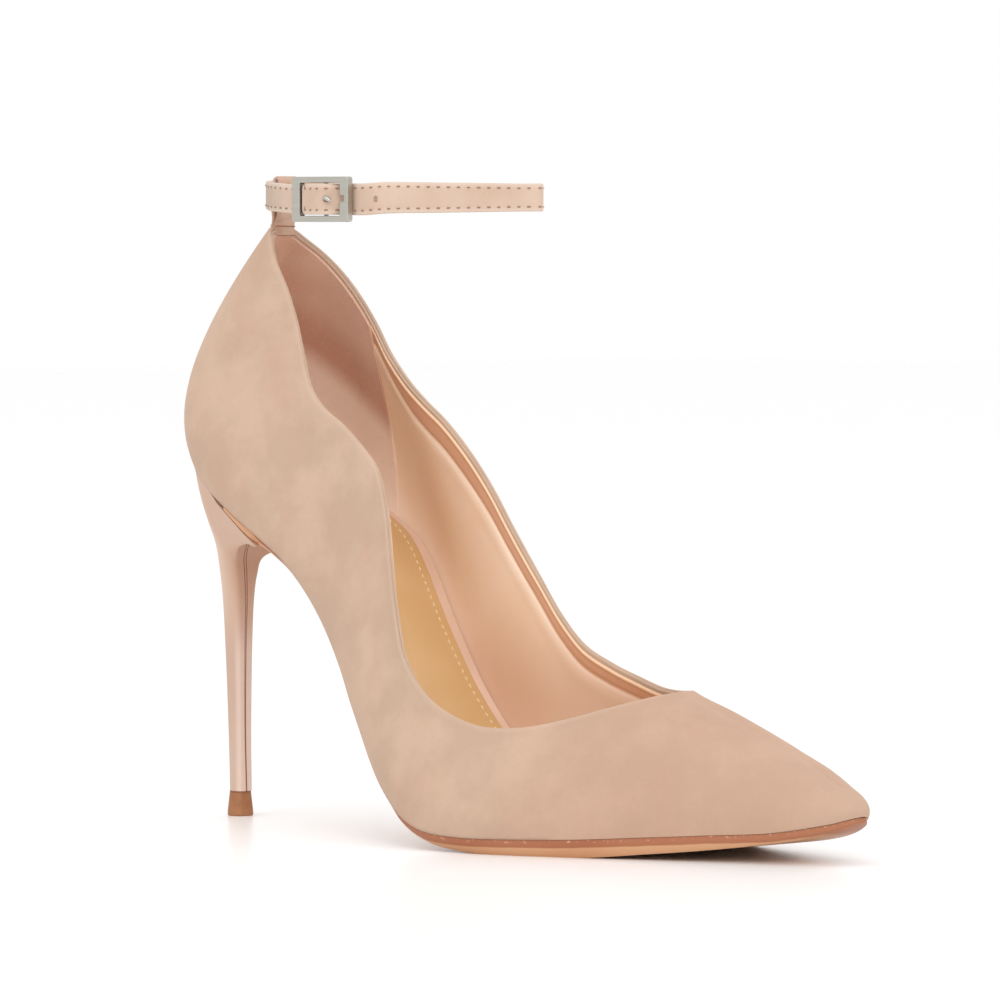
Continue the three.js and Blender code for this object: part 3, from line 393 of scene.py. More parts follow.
def wall_sheet(name, span, steps, depths, rest, outer, inner, roll, start=0.0,
               fold=None):
    """A sheet of the upper between two offsets from its outer face, with a rounded top edge."""
    first, last = span
    whole = last - first >= 2 * SIDE_ROWS - 0.001
    count = round((last - first) * steps)
    rows = [first + (last - first) * k / count for k in range(count if whole else count + 1)]
    lines, normals, rising, depth = wall_lines(rows, depths, rest, start)
    below = depth[:, :, None]
    place = np.abs(np.array(rows))[:, None, None]
    out = lines - normals * outer(below, place)
    inn = lines - normals * inner(below, place)
    n, levels = lines.shape[:2]
    points, facts, folds, index = [], [], [], {}

    def vertex(layer, i, k):
        i %= n
        row = rows[i]
        key = (layer, round(abs(row), 4) if k == 0 and abs(row) > THROAT_ROW - 0.001 and whole
               else round(row, 4), k)
        if key not in index:
            index[key] = len(points)
            points.append((out if layer == 0 else inn)[i, k])
            facts.append(depth[i, k])
            folds.append(fold(abs(rows[i])) if fold else 1.0)
        return index[key]

    def rim(i, step):
        i %= n
        if step == 0:
            return vertex(0, i, 0)
        if step == RIM_STEPS:
            return vertex(1, i, 0)
        key = ("rim", round(abs(rows[i]), 4) if whole and abs(rows[i]) > THROAT_ROW - 0.001
               else round(rows[i], 4), step)
        if key not in index:
            index[key] = len(points)
            middle, across = (out[i, 0] + inn[i, 0]) / 2, (out[i, 0] - inn[i, 0]) / 2
            angle = math.pi * step / RIM_STEPS
            points.append(middle + across * math.cos(angle)
                          + rising[i] * roll * math.sin(angle))
            facts.append(depth[i, 0] - roll * math.sin(angle))
            folds.append(fold(abs(rows[i])) if fold else 1.0)
        return index[key]

    faces = []
    for i in range(n if whole else n - 1):
        for k in range(levels - 1):
            faces.append([vertex(0, i, k), vertex(0, i + 1, k), vertex(0, i + 1, k + 1),
                          vertex(0, i, k + 1)])
            faces.append([vertex(1, i, k), vertex(1, i, k + 1), vertex(1, i + 1, k + 1),
                          vertex(1, i + 1, k)])
        k = levels - 1
        faces.append([vertex(0, i, k), vertex(0, i + 1, k), vertex(1, i + 1, k), vertex(1, i, k)])
        ends = (abs(rows[i]), abs(rows[(i + 1) % n]))
        if not whole or max(ends) < THROAT_ROW + 0.001:
            for step in range(RIM_STEPS):
                faces.append([rim(i, step), rim(i, step + 1), rim(i + 1, step + 1),
                              rim(i + 1, step)])
    if not whole:
        for i in (0, n - 1):
            for k in range(levels - 1):
                quad = [vertex(0, i, k), vertex(0, i, k + 1), vertex(1, i, k + 1), vertex(1, i, k)]
                faces.append(quad if i == 0 else quad[::-1])
            fan = [rim(i, step) for step in range(RIM_STEPS + 1)]
            faces.append(fan[::-1] if i == 0 else fan)
    faces = [tuple(dict.fromkeys(f)) for f in faces]
    named = {"below": facts}
    if fold is not None:
        named["fold"] = [d / f for d, f in zip(facts, folds)]
    return made(name, points, [f for f in faces if len(f) > 2], named, sharp=80)


def made(name, points, faces, facts=None, sharp=38):
    """An object from millimetre points of the tables' frame."""
    place = (np.array(points) - vec(MIDDLE_X, MIDDLE_Y, 0)) / 1000
    mesh = bpy.data.meshes.new(name)
    mesh.from_pydata(place.tolist(), [], faces)
    for key, values in (facts or {}).items():
        layer = mesh.attributes.new(key, "FLOAT", "POINT")
        layer.data.foreach_set("value", [float(v) for v in values])
    work = bmesh.new()
    work.from_mesh(mesh)
    bmesh.ops.recalc_face_normals(work, faces=work.faces)
    work.to_mesh(mesh)
    work.free()
    mesh.shade_smooth()
    mesh.set_sharp_from_angle(angle=math.radians(sharp))
    piece = bpy.data.objects.new(name, mesh)
    bpy.context.scene.collection.objects.link(piece)
    return piece


def loft(name, rings, facts=None, sharp=38):
    """Rings of equal length joined into one closed solid."""
    rings = np.array(rings)
    count, size = rings.shape[:2]
    faces = []
    for k in range(count - 1):
        for i in range(size):
            a, b = k * size + i, k * size + (i + 1) % size
            faces.append((a, b, b + size, a + size))
    faces.append(tuple(range(size))[::-1])
    faces.append(tuple(range((count - 1) * size, count * size)))
    return made(name, rings.reshape(-1, 3), faces, facts, sharp)


def edge_line(side, inset):
    """Y of the feather line, set in by a distance, as a function of x."""
    found = []
    for row in np.linspace(0.0, SIDE_ROWS, 900):
        point = foot_at(side * row)
        found.append(point - foot_outwards(side * row) * inset(point[0]))
    found = np.array(found)
    x = np.maximum.accumulate(found[:, 0])
    return lambda at: float(np.interp(at, x, found[:, 1]))


def stations(start, end, count, round_back, round_front):
    """Places along the shoe, closer together at a rounded end."""
    t = np.linspace(0, 1, count + 1)
    if round_back and round_front:
        t = (1 - np.cos(math.pi * t)) / 2
    elif round_front:
        t = np.sin(math.pi * t / 2)
    return start + (end - start) * t


def plate(name, start, end, count, out_inset, in_inset, lower, upper, soft):
    """A plate that follows the feather profile, its upper edges rounded by soft."""
    out_edge, in_edge = edge_line(-1, lambda x: out_inset), edge_line(1, lambda x: in_inset)
    rings = []
    for x in stations(start, end, count, True, True):
        out, inn, z = out_edge(x), in_edge(x), feather_z(x)
        corner = min(soft, 0.25 * max(inn - out, 0.01))
        turn = [math.radians(a) for a in (0, 22, 45, 67, 90)]
        right = [vec(x, inn - corner + corner * math.cos(a), z + upper - soft + soft * math.sin(a))
                 for a in turn]
        left = [vec(x, out + corner - corner * math.cos(a), z + upper - soft + soft * math.sin(a))
                for a in reversed(turn)]
        rings.append([vec(x, out, z + lower), vec(x, inn, z + lower), *right, *left])
    return loft(name, rings)


TURN = vec(math.cos(BUCKLE_TURN), math.sin(BUCKLE_TURN), 0)
OUTWARDS = vec(math.sin(BUCKLE_TURN), -math.cos(BUCKLE_TURN), 0)


def at_buckle(s, n, z=0.0):
    """Point s along the strap, n outwards and z up from the buckle's middle."""
    return vec(BUCKLE_X, BUCKLE_Y, BUCKLE_Z + z) + TURN * s + OUTWARDS * n


def tube(path, radii, name, sides=10):
    """A round bar along a list of points."""
    path = np.array(path)
    along = unit(np.gradient(path, axis=0))
    side = unit(np.cross(along, vec(0, 0, 1)))
    over = np.cross(side, along)
    rings = [[p + r * (math.cos(a) * x + math.sin(a) * y)
              for a in np.linspace(0, 2 * math.pi, sides, endpoint=False)]
             for p, r, x, y in zip(path, radii, side, over)]
    return loft(name, rings, sharp=50)


def smooth_path(rows, names, count):
    """Dense values of several columns along a table, through a centripetal curve."""
    points = [vec(*(r[k] for k in names)) for r in rows]
    return [through(points, t) for t in np.linspace(0, 1, count)]


# Materials

def colour(text):
    """Linear colour from an sRGB hex text."""
    parts = [int(text[k:k + 2], 16) / 255 for k in (1, 3, 5)]
    return (*(p / 12.92 if p <= 0.04045 else ((p + 0.055) / 1.055) ** 2.4 for p in parts), 1.0)


def settle(tree, target, inputs):
    """Set a node's inputs to values, or link them to other nodes' outputs."""
    for key, value in inputs.items():
        if isinstance(value, bpy.types.NodeSocket):
            tree.links.new(value, target.inputs[key])
        else:
            target.inputs[key].default_value = value


def node(tree, kind, inputs=None, **settings):
    """Add a node, set its properties, and set or link its inputs."""
    added = tree.nodes.new(kind)
    for key, value in settings.items():
        setattr(added, key, value)
    settle(tree, added, inputs or {})
    return added


def painted(name, paint):
    """The material of that name, painted the first time that it is asked for."""
    if name in bpy.data.materials:
        return bpy.data.materials[name]
    material = bpy.data.materials.new(name)
    material.use_nodes = True
    tree = material.node_tree
    tree.nodes.clear()
    shader = node(tree, "ShaderNodeBsdfPrincipled")
    node(tree, "ShaderNodeOutputMaterial", {"Surface": shader.outputs["BSDF"]})
    paint(tree, shader)
    return material


def made_as(name):
    """Turn a function that paints nodes into one that gives the finished material."""
    def wrap(paint):
        @functools.wraps(paint)
        def material():
            return painted(name, paint)
        return material
    return wrap


def noise(tree, size_mm, detail=2.0, rough=0.5, stretch=(1, 1, 1)):
    """Noise whose blotches are about size_mm across, in the object's own metres."""
    place = node(tree, "ShaderNodeTexCoord")
    scaled = node(tree, "ShaderNodeMapping", {"Vector": place.outputs["Object"], "Scale": stretch})
    return node(tree, "ShaderNodeTexNoise", {
        "Vector": scaled.outputs["Vector"], "Scale": 1000.0 / (2.0 * size_mm), "Detail": detail,
        "Roughness": rough}).outputs["Fac"]


def ramp(tree, value, low, high):
    """Value brought from low..high to 0..1 with soft ends."""
    return node(tree, "ShaderNodeMapRange", {
        "Value": value, "From Min": low, "From Max": high}, interpolation_type="SMOOTHSTEP",
    ).outputs["Result"]


def blend(tree, amount, first, second):
    """Colour between two colours; the node keeps its factor and its colours in these places."""
    return node(tree, "ShaderNodeMix", {0: amount, 6: first, 7: second},
                data_type="RGBA").outputs[2]


def times(tree, value, factor, plus=0.0):
    """Value times a factor, which may be another node's output, plus a number."""
    return node(tree, "ShaderNodeMath", {0: value, 1: factor, 2: plus},
                operation="MULTIPLY_ADD").outputs[0]


def fact(tree, name):
    return node(tree, "ShaderNodeAttribute", attribute_name=name).outputs["Fac"]


def along(tree, axis, start, end):
    """0 at one place along the object's axis and 1 at another, in the tables' millimetres."""
    place = node(tree, "ShaderNodeTexCoord")
    parts = node(tree, "ShaderNodeSeparateXYZ", {"Vector": place.outputs["Object"]})
    shift = {"X": MIDDLE_X, "Y": MIDDLE_Y, "Z": 0}[axis]
    return ramp(tree, parts.outputs[axis], (start - shift) / 1000, (end - shift) / 1000)


def relief(tree, shader, height, depth_mm):
    """Let the light see small heights up to depth_mm."""
    bump = node(tree, "ShaderNodeBump", {
        "Strength": 1.0, "Distance": depth_mm / 1000, "Height": height})
    tree.links.new(bump.outputs["Normal"], shader.inputs["Normal"])


@made_as("goat_suede_buffed_blush")
def suede_upper(tree, shader):
    """Goat suede, buffed and dyed blush: matt, cloudy where the nap lies over, paler at folds."""
    cloud = ramp(tree, noise(tree, 9, 3.0, 0.6), 0.36, 0.66)
    base = blend(tree, cloud, colour("#b89d88"), colour("#c3a791"))
    pink = ramp(tree, noise(tree, 8, 3.0, 0.6, (1.0, 1.3, 0.8)), 0.45, 0.75)
    base = blend(tree, times(tree, pink, 0.36), base, colour("#bc9480"))
    # darker towards the vamp: partly the suede's own tone and partly painted shade
    vamp = along(tree, "X", 125, 175)
    base = blend(tree, times(tree, vamp, 0.38), base, colour("#b48b75"))
    tip = along(tree, "X", 205, 228)
    base = blend(tree, times(tree, tip, 0.3), base, colour("#c4a792"))
    fine = noise(tree, 0.5, 3.0, 0.65)
    base = blend(tree, times(tree, fine, 0.2, -0.03), base, colour("#9c7863"))
    edge = ramp(tree, fact(tree, "below"), 1.5, 0.1)
    base = blend(tree, times(tree, edge, 0.2), base, colour("#cdb39e"))
    settle(tree, shader, {
        "Base Color": base, "Roughness": 0.95, "Specular IOR Level": 0.15, "Sheen Weight": 0.22,
        "Sheen Roughness": 0.6, "Sheen Tint": colour("#f3dccb")})
    relief(tree, shader, fine, 0.05)


@made_as("goat_suede_strap_edge_folded")
def suede_strap(tree, shader):
    """Goat suede strap, skived and edge folded: pale, with lighter rounded edges."""
    base = blend(tree, ramp(tree, noise(tree, 9, 2.0), 0.35, 0.65), colour("#c2a691"),
                 colour("#ccb3a0"))
    # painted shade: the strap turns darker from the buckle back towards the tab
    back = along(tree, "X", 48, 30)
    base = blend(tree, times(tree, back, 0.8), base, colour("#a8947f"))
    fine = noise(tree, 0.45, 3.0, 0.65)
    base = blend(tree, times(tree, fine, 0.14), base, colour("#a88772"))
    edge = ramp(tree, fact(tree, "edge"), 0.55, 1.0)
    base = blend(tree, times(tree, edge, 0.5), base, colour("#d8c6b7"))
    settle(tree, shader, {
        "Base Color": base, "Roughness": 0.92, "Specular IOR Level": 0.15, "Sheen Weight": 0.2,
        "Sheen Roughness": 0.6})
    relief(tree, shader, fine, 0.05)


@made_as("goat_suede_tab_folded")
def suede_tab(tree, shader):
    """Goat suede tab, folded and glued: pinker, with darker soft creases."""
    base = blend(tree, ramp(tree, noise(tree, 3.5, 2.0), 0.35, 0.65), colour("#b08a75"),
                 colour("#c0a08c"))
    fine = noise(tree, 0.45, 3.0, 0.65)
    settle(tree, shader, {
        "Base Color": base, "Roughness": 0.95, "Specular IOR Level": 0.15, "Sheen Weight": 0.2})
    relief(tree, shader, fine, 0.05)


@made_as("kid_lining_aniline_plated")
def lining_leather(tree, shader):
    """Kid leather lining, aniline dyed and plated: smooth warm tan with a soft low gloss."""
    cloud = ramp(tree, noise(tree, 20, 2.0), 0.36, 0.64)
    base = blend(tree, cloud, colour("#f2d6bc"), colour("#f6dfca"))
    # painted shade: the lining is darker low down in the front of the shoe, deep in the hollow
    front = along(tree, "Z", 62, 34)
    base = blend(tree, times(tree, front, 0.6), base, colour("#d0a286"))
    # painted shade and reflected colour: the band between the topline and the crease, which faces away
    # from the light, is darker and more orange
    fold = ramp(tree, fact(tree, "fold"), 1.08, 0.94)
    base = blend(tree, times(tree, fold, 0.7), base, colour("#c4835b"))
    # painted highlight: a thin lighter line along the lining's top edge, where it catches the light
    lip = ramp(tree, fact(tree, "below"), 1.9, 1.35)
    base = blend(tree, times(tree, lip, 0.8), base, colour("#f3cfab"))
    grain = noise(tree, 0.6, 3.0, 0.6)
    wrinkle = noise(tree, 6.0, 2.0, 0.5, (1, 1, 0.5))
    relief(tree, shader, times(tree, wrinkle, 4.0, 0.0), 0.06)
    settle(tree, shader, {
        "Base Color": base, "Roughness": times(tree, grain, 0.16, 0.36), "Specular IOR Level": 0.45,
        "Coat Weight": 0.12, "Coat Roughness": 0.3})


@made_as("pig_split_suede_heel_grip")
def heel_grip(tree, shader):
    """Pig suede heel grip, split and buffed: grainy matt pink brown, with painted glints on its hairs.
    """
    cloud = ramp(tree, noise(tree, 14, 3.0), 0.35, 0.65)
    base = blend(tree, cloud, colour("#d0a088"), colour("#dab39c"))
    place = node(tree, "ShaderNodeTexCoord").outputs["Object"]
    forward = 0.83     # the painted shade band and the painted light below it drop this much per step ahead
    slant = node(tree, "ShaderNodeVectorMath", {0: place, 1: (forward, 0, 1)},
                 operation="DOT_PRODUCT").outputs["Value"]
    # painted shade: a darker band across the middle of the grip
    middle = ramp(tree, slant, 0.064, 0.050)
    base = blend(tree, times(tree, middle, 0.7), base, colour("#c08b74"))
    # painted light: the lower part of the grip is paler where the light falls on it
    low = ramp(tree, slant, 0.047, 0.037)
    base = blend(tree, times(tree, low, 0.9), base, colour("#f2dccb"))
    fine = noise(tree, 0.5, 4.0, 0.75)
    # painted glints: pale specks where single hairs catch the light
    hair_glints = times(tree, ramp(tree, fine, 0.5, 0.75), 0.35)
    base = blend(tree, hair_glints, base, colour("#e0c1ac"))
    settle(tree, shader, {
        "Base Color": base, "Roughness": 0.95, "Specular IOR Level": 0.12, "Sheen Weight": 0.3,
        "Sheen Roughness": 0.5})
    relief(tree, shader, fine, 0.12)


@made_as("calf_sock_ochre_polished")
def sock_leather(tree, shader):
    """Calf sock, dyed ochre and polished: even, warm, slightly glossy, faint long grain."""
    cloud = ramp(tree, noise(tree, 18, 2.0), 0.35, 0.65)
    base = blend(tree, cloud, colour("#d0a874"), colour("#d8b282"))
    settle(tree, shader, {"Base Color": base, "Roughness": 0.5, "Specular IOR Level": 0.35})
    relief(tree, shader, noise(tree, 0.7, 3.0, 0.6), 0.03)


@made_as("kid_insole_cover_lasted")
def insole_cover(tree, shader):
    """Kid insole cover, dyed pink and lasted over the board: matt, and pinker than the lining."""
    cloud = ramp(tree, noise(tree, 12, 2.0), 0.35, 0.65)
    base = blend(tree, cloud, colour("#e0bfa8"), colour("#e8cab5"))
    settle(tree, shader, {"Base Color": base, "Roughness": 0.75, "Specular IOR Level": 0.25})
    relief(tree, shader, noise(tree, 0.6, 3.0, 0.6), 0.04)


@made_as("ox_sole_leather_burnished")
def sole_leather(tree, shader):
    """Ox sole leather, cut, waxed and burnished: dark waxed upper edge, paler oiled bevel."""
    cloud = ramp(tree, noise(tree, 12, 2.0, 0.5, (0.4, 1, 1)), 0.35, 0.65)
    bevel = blend(tree, cloud, colour("#bf8a62"), colour("#cb9b74"))
    strip = blend(tree, cloud, colour("#965839"), colour("#a36645"))
    wave = times(tree, noise(tree, 4.0, 2.0), 0.5)
    depth = node(tree, "ShaderNodeMath", {0: fact(tree, "down"), 1: wave}, operation="SUBTRACT")
    base = blend(tree, ramp(tree, depth.outputs[0], 1.35, 1.75), strip, bevel)
    # painted glints of the glue along the top edge of the waxed strip
    glue_glints = ramp(tree, noise(tree, 0.5, 3.0, 0.7), 0.58, 0.68)
    near = ramp(tree, fact(tree, "down"), 0.9, 0.2)
    both = times(tree, glue_glints, near)
    base = blend(tree, times(tree, both, 0.7), base, colour("#d8b49c"))
    settle(tree, shader, {"Base Color": base, "Roughness": 0.42, "Specular IOR Level": 0.45})
    relief(tree, shader, noise(tree, 0.8, 3.0, 0.6), 0.05)


@made_as("kid_heel_cover_wrapped")
def heel_cover(tree, shader):
    """Kid heel cover, wrapped tight and glued: smooth low sheen, pale sides with painted light higher up
    and on the lower breast, and a tan front higher up that is partly its own tone and partly painted
    shade and reflected colour.
    """
    cloud = ramp(tree, noise(tree, 12, 2.0, 0.5, (1, 1, 0.4)), 0.35, 0.65)
    base = blend(tree, cloud, colour("#c2a491"), colour("#c9ae9d"))
    front = along(tree, "X", 1.0, 12.0)
    # painted light: the heel turns paler towards the top, where more light falls
    high = along(tree, "Z", 42, 66)
    base = blend(tree, times(tree, high, 0.7), base, colour("#e4cfbd"))
    # painted light: the lower part of the breast is made paler than its shading would give
    lit_breast_low = times(tree, along(tree, "X", 8.4, 10.2), along(tree, "Z", 58, 42))
    base = blend(tree, times(tree, lit_breast_low, 0.8), base, colour("#dec8bb"))
    # tan towards the front higher up: partly the cover's own tone and partly painted shade and reflected
    # colour
    both = times(tree, front, high)
    base = blend(tree, times(tree, both, 0.6), base, colour("#b58261"))
    settle(tree, shader, {"Base Color": base, "Roughness": 0.5, "Specular IOR Level": 0.35})
    relief(tree, shader, noise(tree, 0.6, 3.0, 0.6), 0.03)


@made_as("polyurethane_top_piece_moulded")
def top_piece_polymer(tree, shader):
    """Polyurethane top piece, moulded in brown: dull, slightly waxy, faint scuffs."""
    cloud = ramp(tree, noise(tree, 3, 3.0), 0.35, 0.65)
    base = blend(tree, cloud, colour("#945e38"), colour("#a46f46"))
    settle(tree, shader, {"Base Color": base, "Roughness": 0.5})
    relief(tree, shader, noise(tree, 0.5, 2.0), 0.02)


@made_as("zinc_alloy_nickel_plated_satin")
def plated_buckle(tree, shader):
    """Zinc alloy, die cast, satin brushed and nickel plated: soft grey with lit bevels."""
    brushed = noise(tree, 0.25, 3.0, 0.6, (0.05, 0.05, 1.0))
    shade = blend(tree, brushed, colour("#b0ada5"), colour("#c2bfb7"))
    settle(tree, shader, {"Base Color": shade, "Metallic": 1.0, "Roughness": 0.34})
    relief(tree, shader, brushed, 0.006)


def thread(name, tone, light):
    """Polyester thread, twisted and waxed: matt dashes."""
    def paint(tree, shader):
        base = blend(tree, noise(tree, 0.4, 2.0), colour(tone), colour(light))
        settle(tree, shader, {"Base Color": base, "Roughness": 0.7})

    return painted(name, paint)


@made_as("pressed_seam_glued_edge")
def glue_line(tree, shader):
    """Seam line, glued and pressed edges: a dark brown hairline that takes no gloss, partly the glued
    edge's own colour and partly painted shadow in the seam.
    """
    settle(tree, shader, {"Base Color": colour("#8f5c45"), "Roughness": 0.9})


@made_as("coated_studio_board_white")
def studio_floor(tree, shader):
    """Coated studio board, rolled flat: white with a faint soft reflection."""
    settle(tree, shader, {
        "Base Color": colour("#fdfdfd"), "Roughness": 0.3, "Specular IOR Level": 0.4})


# Stitches

def stitch_tree():
    """Geometry Nodes tree that lays short threads along a curve."""
    if "Running stitch" in bpy.data.node_groups:
        return bpy.data.node_groups["Running stitch"]
    tree = bpy.data.node_groups.new("Running stitch", "GeometryNodeTree")
    sockets = tree.interface
    sockets.new_socket("Geometry", in_out="INPUT", socket_type="NodeSocketGeometry")
    for name in ("Pitch", "Length", "Width"):
        sockets.new_socket(name, in_out="INPUT", socket_type="NodeSocketFloat")
    sockets.new_socket("Seed", in_out="INPUT", socket_type="NodeSocketInt")
    sockets.new_socket("Thread", in_out="INPUT", socket_type="NodeSocketMaterial")
    sockets.new_socket("Geometry", in_out="OUTPUT", socket_type="NodeSocketGeometry")
    given = node(tree, "NodeGroupInput")
    places = node(tree, "GeometryNodeCurveToPoints", {
        "Curve": given.outputs["Geometry"], "Length": given.outputs["Pitch"]}, mode="LENGTH")
    ball = node(tree, "GeometryNodeMeshUVSphere", {"Segments": 8, "Rings": 6, "Radius": 0.5})
    size = node(tree, "ShaderNodeCombineXYZ", {
        "X": given.outputs["Width"], "Y": given.outputs["Width"], "Z": given.outputs["Length"]})
    grown = node(tree, "GeometryNodeTransform", {
        "Geometry": ball.outputs["Mesh"], "Scale": size.outputs["Vector"]})
    uneven = node(tree, "FunctionNodeRandomValue", {
        "Min": (0.9, 0.9, 0.88), "Max": (1.1, 1.1, 1.1), "Seed": given.outputs["Seed"]},
        data_type="FLOAT_VECTOR")
    laid = node(tree, "GeometryNodeInstanceOnPoints", {
        "Points": places.outputs["Points"], "Instance": grown.outputs["Geometry"],
        "Rotation": places.outputs["Rotation"], "Scale": uneven.outputs["Value"]})
    real = node(tree, "GeometryNodeRealizeInstances", {"Geometry": laid.outputs["Instances"]})
    painted = node(tree, "GeometryNodeSetMaterial", {
        "Geometry": real.outputs["Geometry"], "Material": given.outputs["Thread"]})
    node(tree, "NodeGroupOutput", {"Geometry": painted.outputs["Geometry"]})
    return tree


def stitches(name, paths, pitch, length, width, seed, material):
    """Running stitches along millimetre paths, as one plain mesh."""
    line = bpy.data.curves.new(name + "_path", "CURVE")
    line.dimensions = "3D"
    for path in paths:
        spline = line.splines.new("POLY")
        spline.points.add(len(path) - 1)
        place = (np.array(path) - vec(MIDDLE_X, MIDDLE_Y, 0)) / 1000
        spline.points.foreach_set("co", np.c_[place, np.ones(len(place))].ravel())
    guide = bpy.data.objects.new(name + "_path", line)
    bpy.context.scene.collection.objects.link(guide)
    modifier = guide.modifiers.new("Stitches", "NODES")
    modifier.node_group = stitch_tree()
    wanted = {"Pitch": pitch, "Length": length, "Width": width, "Seed": seed, "Thread": material}
    for item in modifier.node_group.interface.items_tree:
        if item.in_out == "INPUT" and item.name in wanted:
            modifier[item.identifier] = wanted[item.name]
    graph = bpy.context.evaluated_depsgraph_get()
    graph.update()
    mesh = bpy.data.meshes.new_from_object(guide.evaluated_get(graph))
    mesh.name = name
    bpy.data.objects.remove(guide)
    piece = bpy.data.objects.new(name, mesh)
    if not mesh.polygons:
        raise RuntimeError(f"no stitches were laid for {name}")
    mesh.shade_smooth()
    if not mesh.materials:
        mesh.materials.append(material)
    bpy.context.scene.collection.objects.link(piece)
    return piece


def cut(piece, *tools):
    """Subtract tools from a piece and leave a plain mesh."""
    for tool in tools:
        modifier = piece.modifiers.new("Cut", "BOOLEAN")
        modifier.operation = "DIFFERENCE"
        modifier.solver = "EXACT"
        modifier.object = tool
    graph = bpy.context.evaluated_depsgraph_get()
    graph.update()
    mesh = bpy.data.meshes.new_from_object(piece.evaluated_get(graph))
    piece.modifiers.clear()
    old, name = piece.data, piece.data.name
    piece.data = mesh
    bpy.data.meshes.remove(old)
    mesh.name = name
    mesh.shade_smooth()
    mesh.set_sharp_from_angle(angle=math.radians(38))
    for tool in tools:
        bpy.data.objects.remove(tool)


def finish(piece, material, node_name=None):
    """Give a piece its material and its place in the shared frame."""
    if material is not None:
        piece.data.materials.clear()
        piece.data.materials.append(material)
    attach(piece, "root")
    if node_name:
        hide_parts(node_name)
    return piece


# Settings

def length_setting(name, text, default):
    return bpy.props.FloatProperty(name=name, description=text, default=default, unit="LENGTH",
                                   subtype="DISTANCE", precision=5, min=0.0)


class PumpUpperSettings(bpy.types.PropertyGroup):
    """Sizes of the upper and what lines it."""

    steps: bpy.props.IntProperty(
        name="Steps per rib", description="Mesh lines from one rib to the next", default=6, min=1)
    levels: bpy.props.IntProperty(
        name="Levels", description="Mesh lines from the topline to the sole", default=30, min=4)
    suede: length_setting("Suede", "Thickness of the outer suede", 0.00095)
    facing: length_setting("Facing", "Depth of the suede folded over inside the topline", 0.0012)
    grip_rows: bpy.props.FloatProperty(
        name="Heel grip", description="Ribs on each side that the heel grip covers", default=5.9)


class PumpSoleSettings(bpy.types.PropertyGroup):
    """Sizes of the sole, the heel, the insole and the sock."""

    stations: bpy.props.IntProperty(
        name="Stations", description="Sections along the sole", default=110, min=20)
    soft: length_setting("Soft edge", "Rounding of the sock's and the insole's edge", 0.0004)
    sock_stitch: length_setting("Sock stitch", "Pitch of the sock's stitches", 0.0024)
    sock_margin: length_setting("Sock margin", "Stitch line from the sock's edge", 0.0026)


class PumpStrapSettings(bpy.types.PropertyGroup):
    """Sizes of the strap, its stitches and the buckle's edges."""

    steps: bpy.props.IntProperty(
        name="Steps", description="Mesh sections between two rows of the strap", default=8, min=2)
    pitch: length_setting("Pitch", "Distance from one stitch to the next", 0.00293)
    stitch: length_setting("Stitch", "Length of one stitch", 0.00115)
    width: length_setting("Thread", "Width of the thread", 0.00045)
    margin: length_setting("Margin", "Stitch line from the strap's edge", 0.0012)
    bevel: length_setting("Bevel", "Bevel on the buckle's edges", 0.00025)


class PumpStageSettings(bpy.types.PropertyGroup):
    """Floor, light and camera."""

    floor: length_setting("Floor", "Side of the square floor", 9.0)
    sky: bpy.props.FloatProperty(
        name="Sky", description="Strength of the even white light", default=1.0, min=0.0)
    key: bpy.props.FloatProperty(
        name="Key", description="Power of the large soft lamp in watts", default=4.0, min=0.0)
    fill: bpy.props.FloatProperty(
        name="Fill", description="Power of the lamp beside the camera in watts", default=8.0,
        min=0.0)
    azimuth: bpy.props.FloatProperty(
        name="Azimuth", description="Camera turned from the outer side", subtype="ANGLE",
        default=math.radians(46.84085))
    tilt: bpy.props.FloatProperty(
        name="Tilt", description="Camera looking down", subtype="ANGLE",
        default=math.radians(2.23229))
    lens: bpy.props.FloatProperty(
        name="Lens", description="Focal length in millimetres on a 36 mm sensor",
        default=265.707)


# Pieces

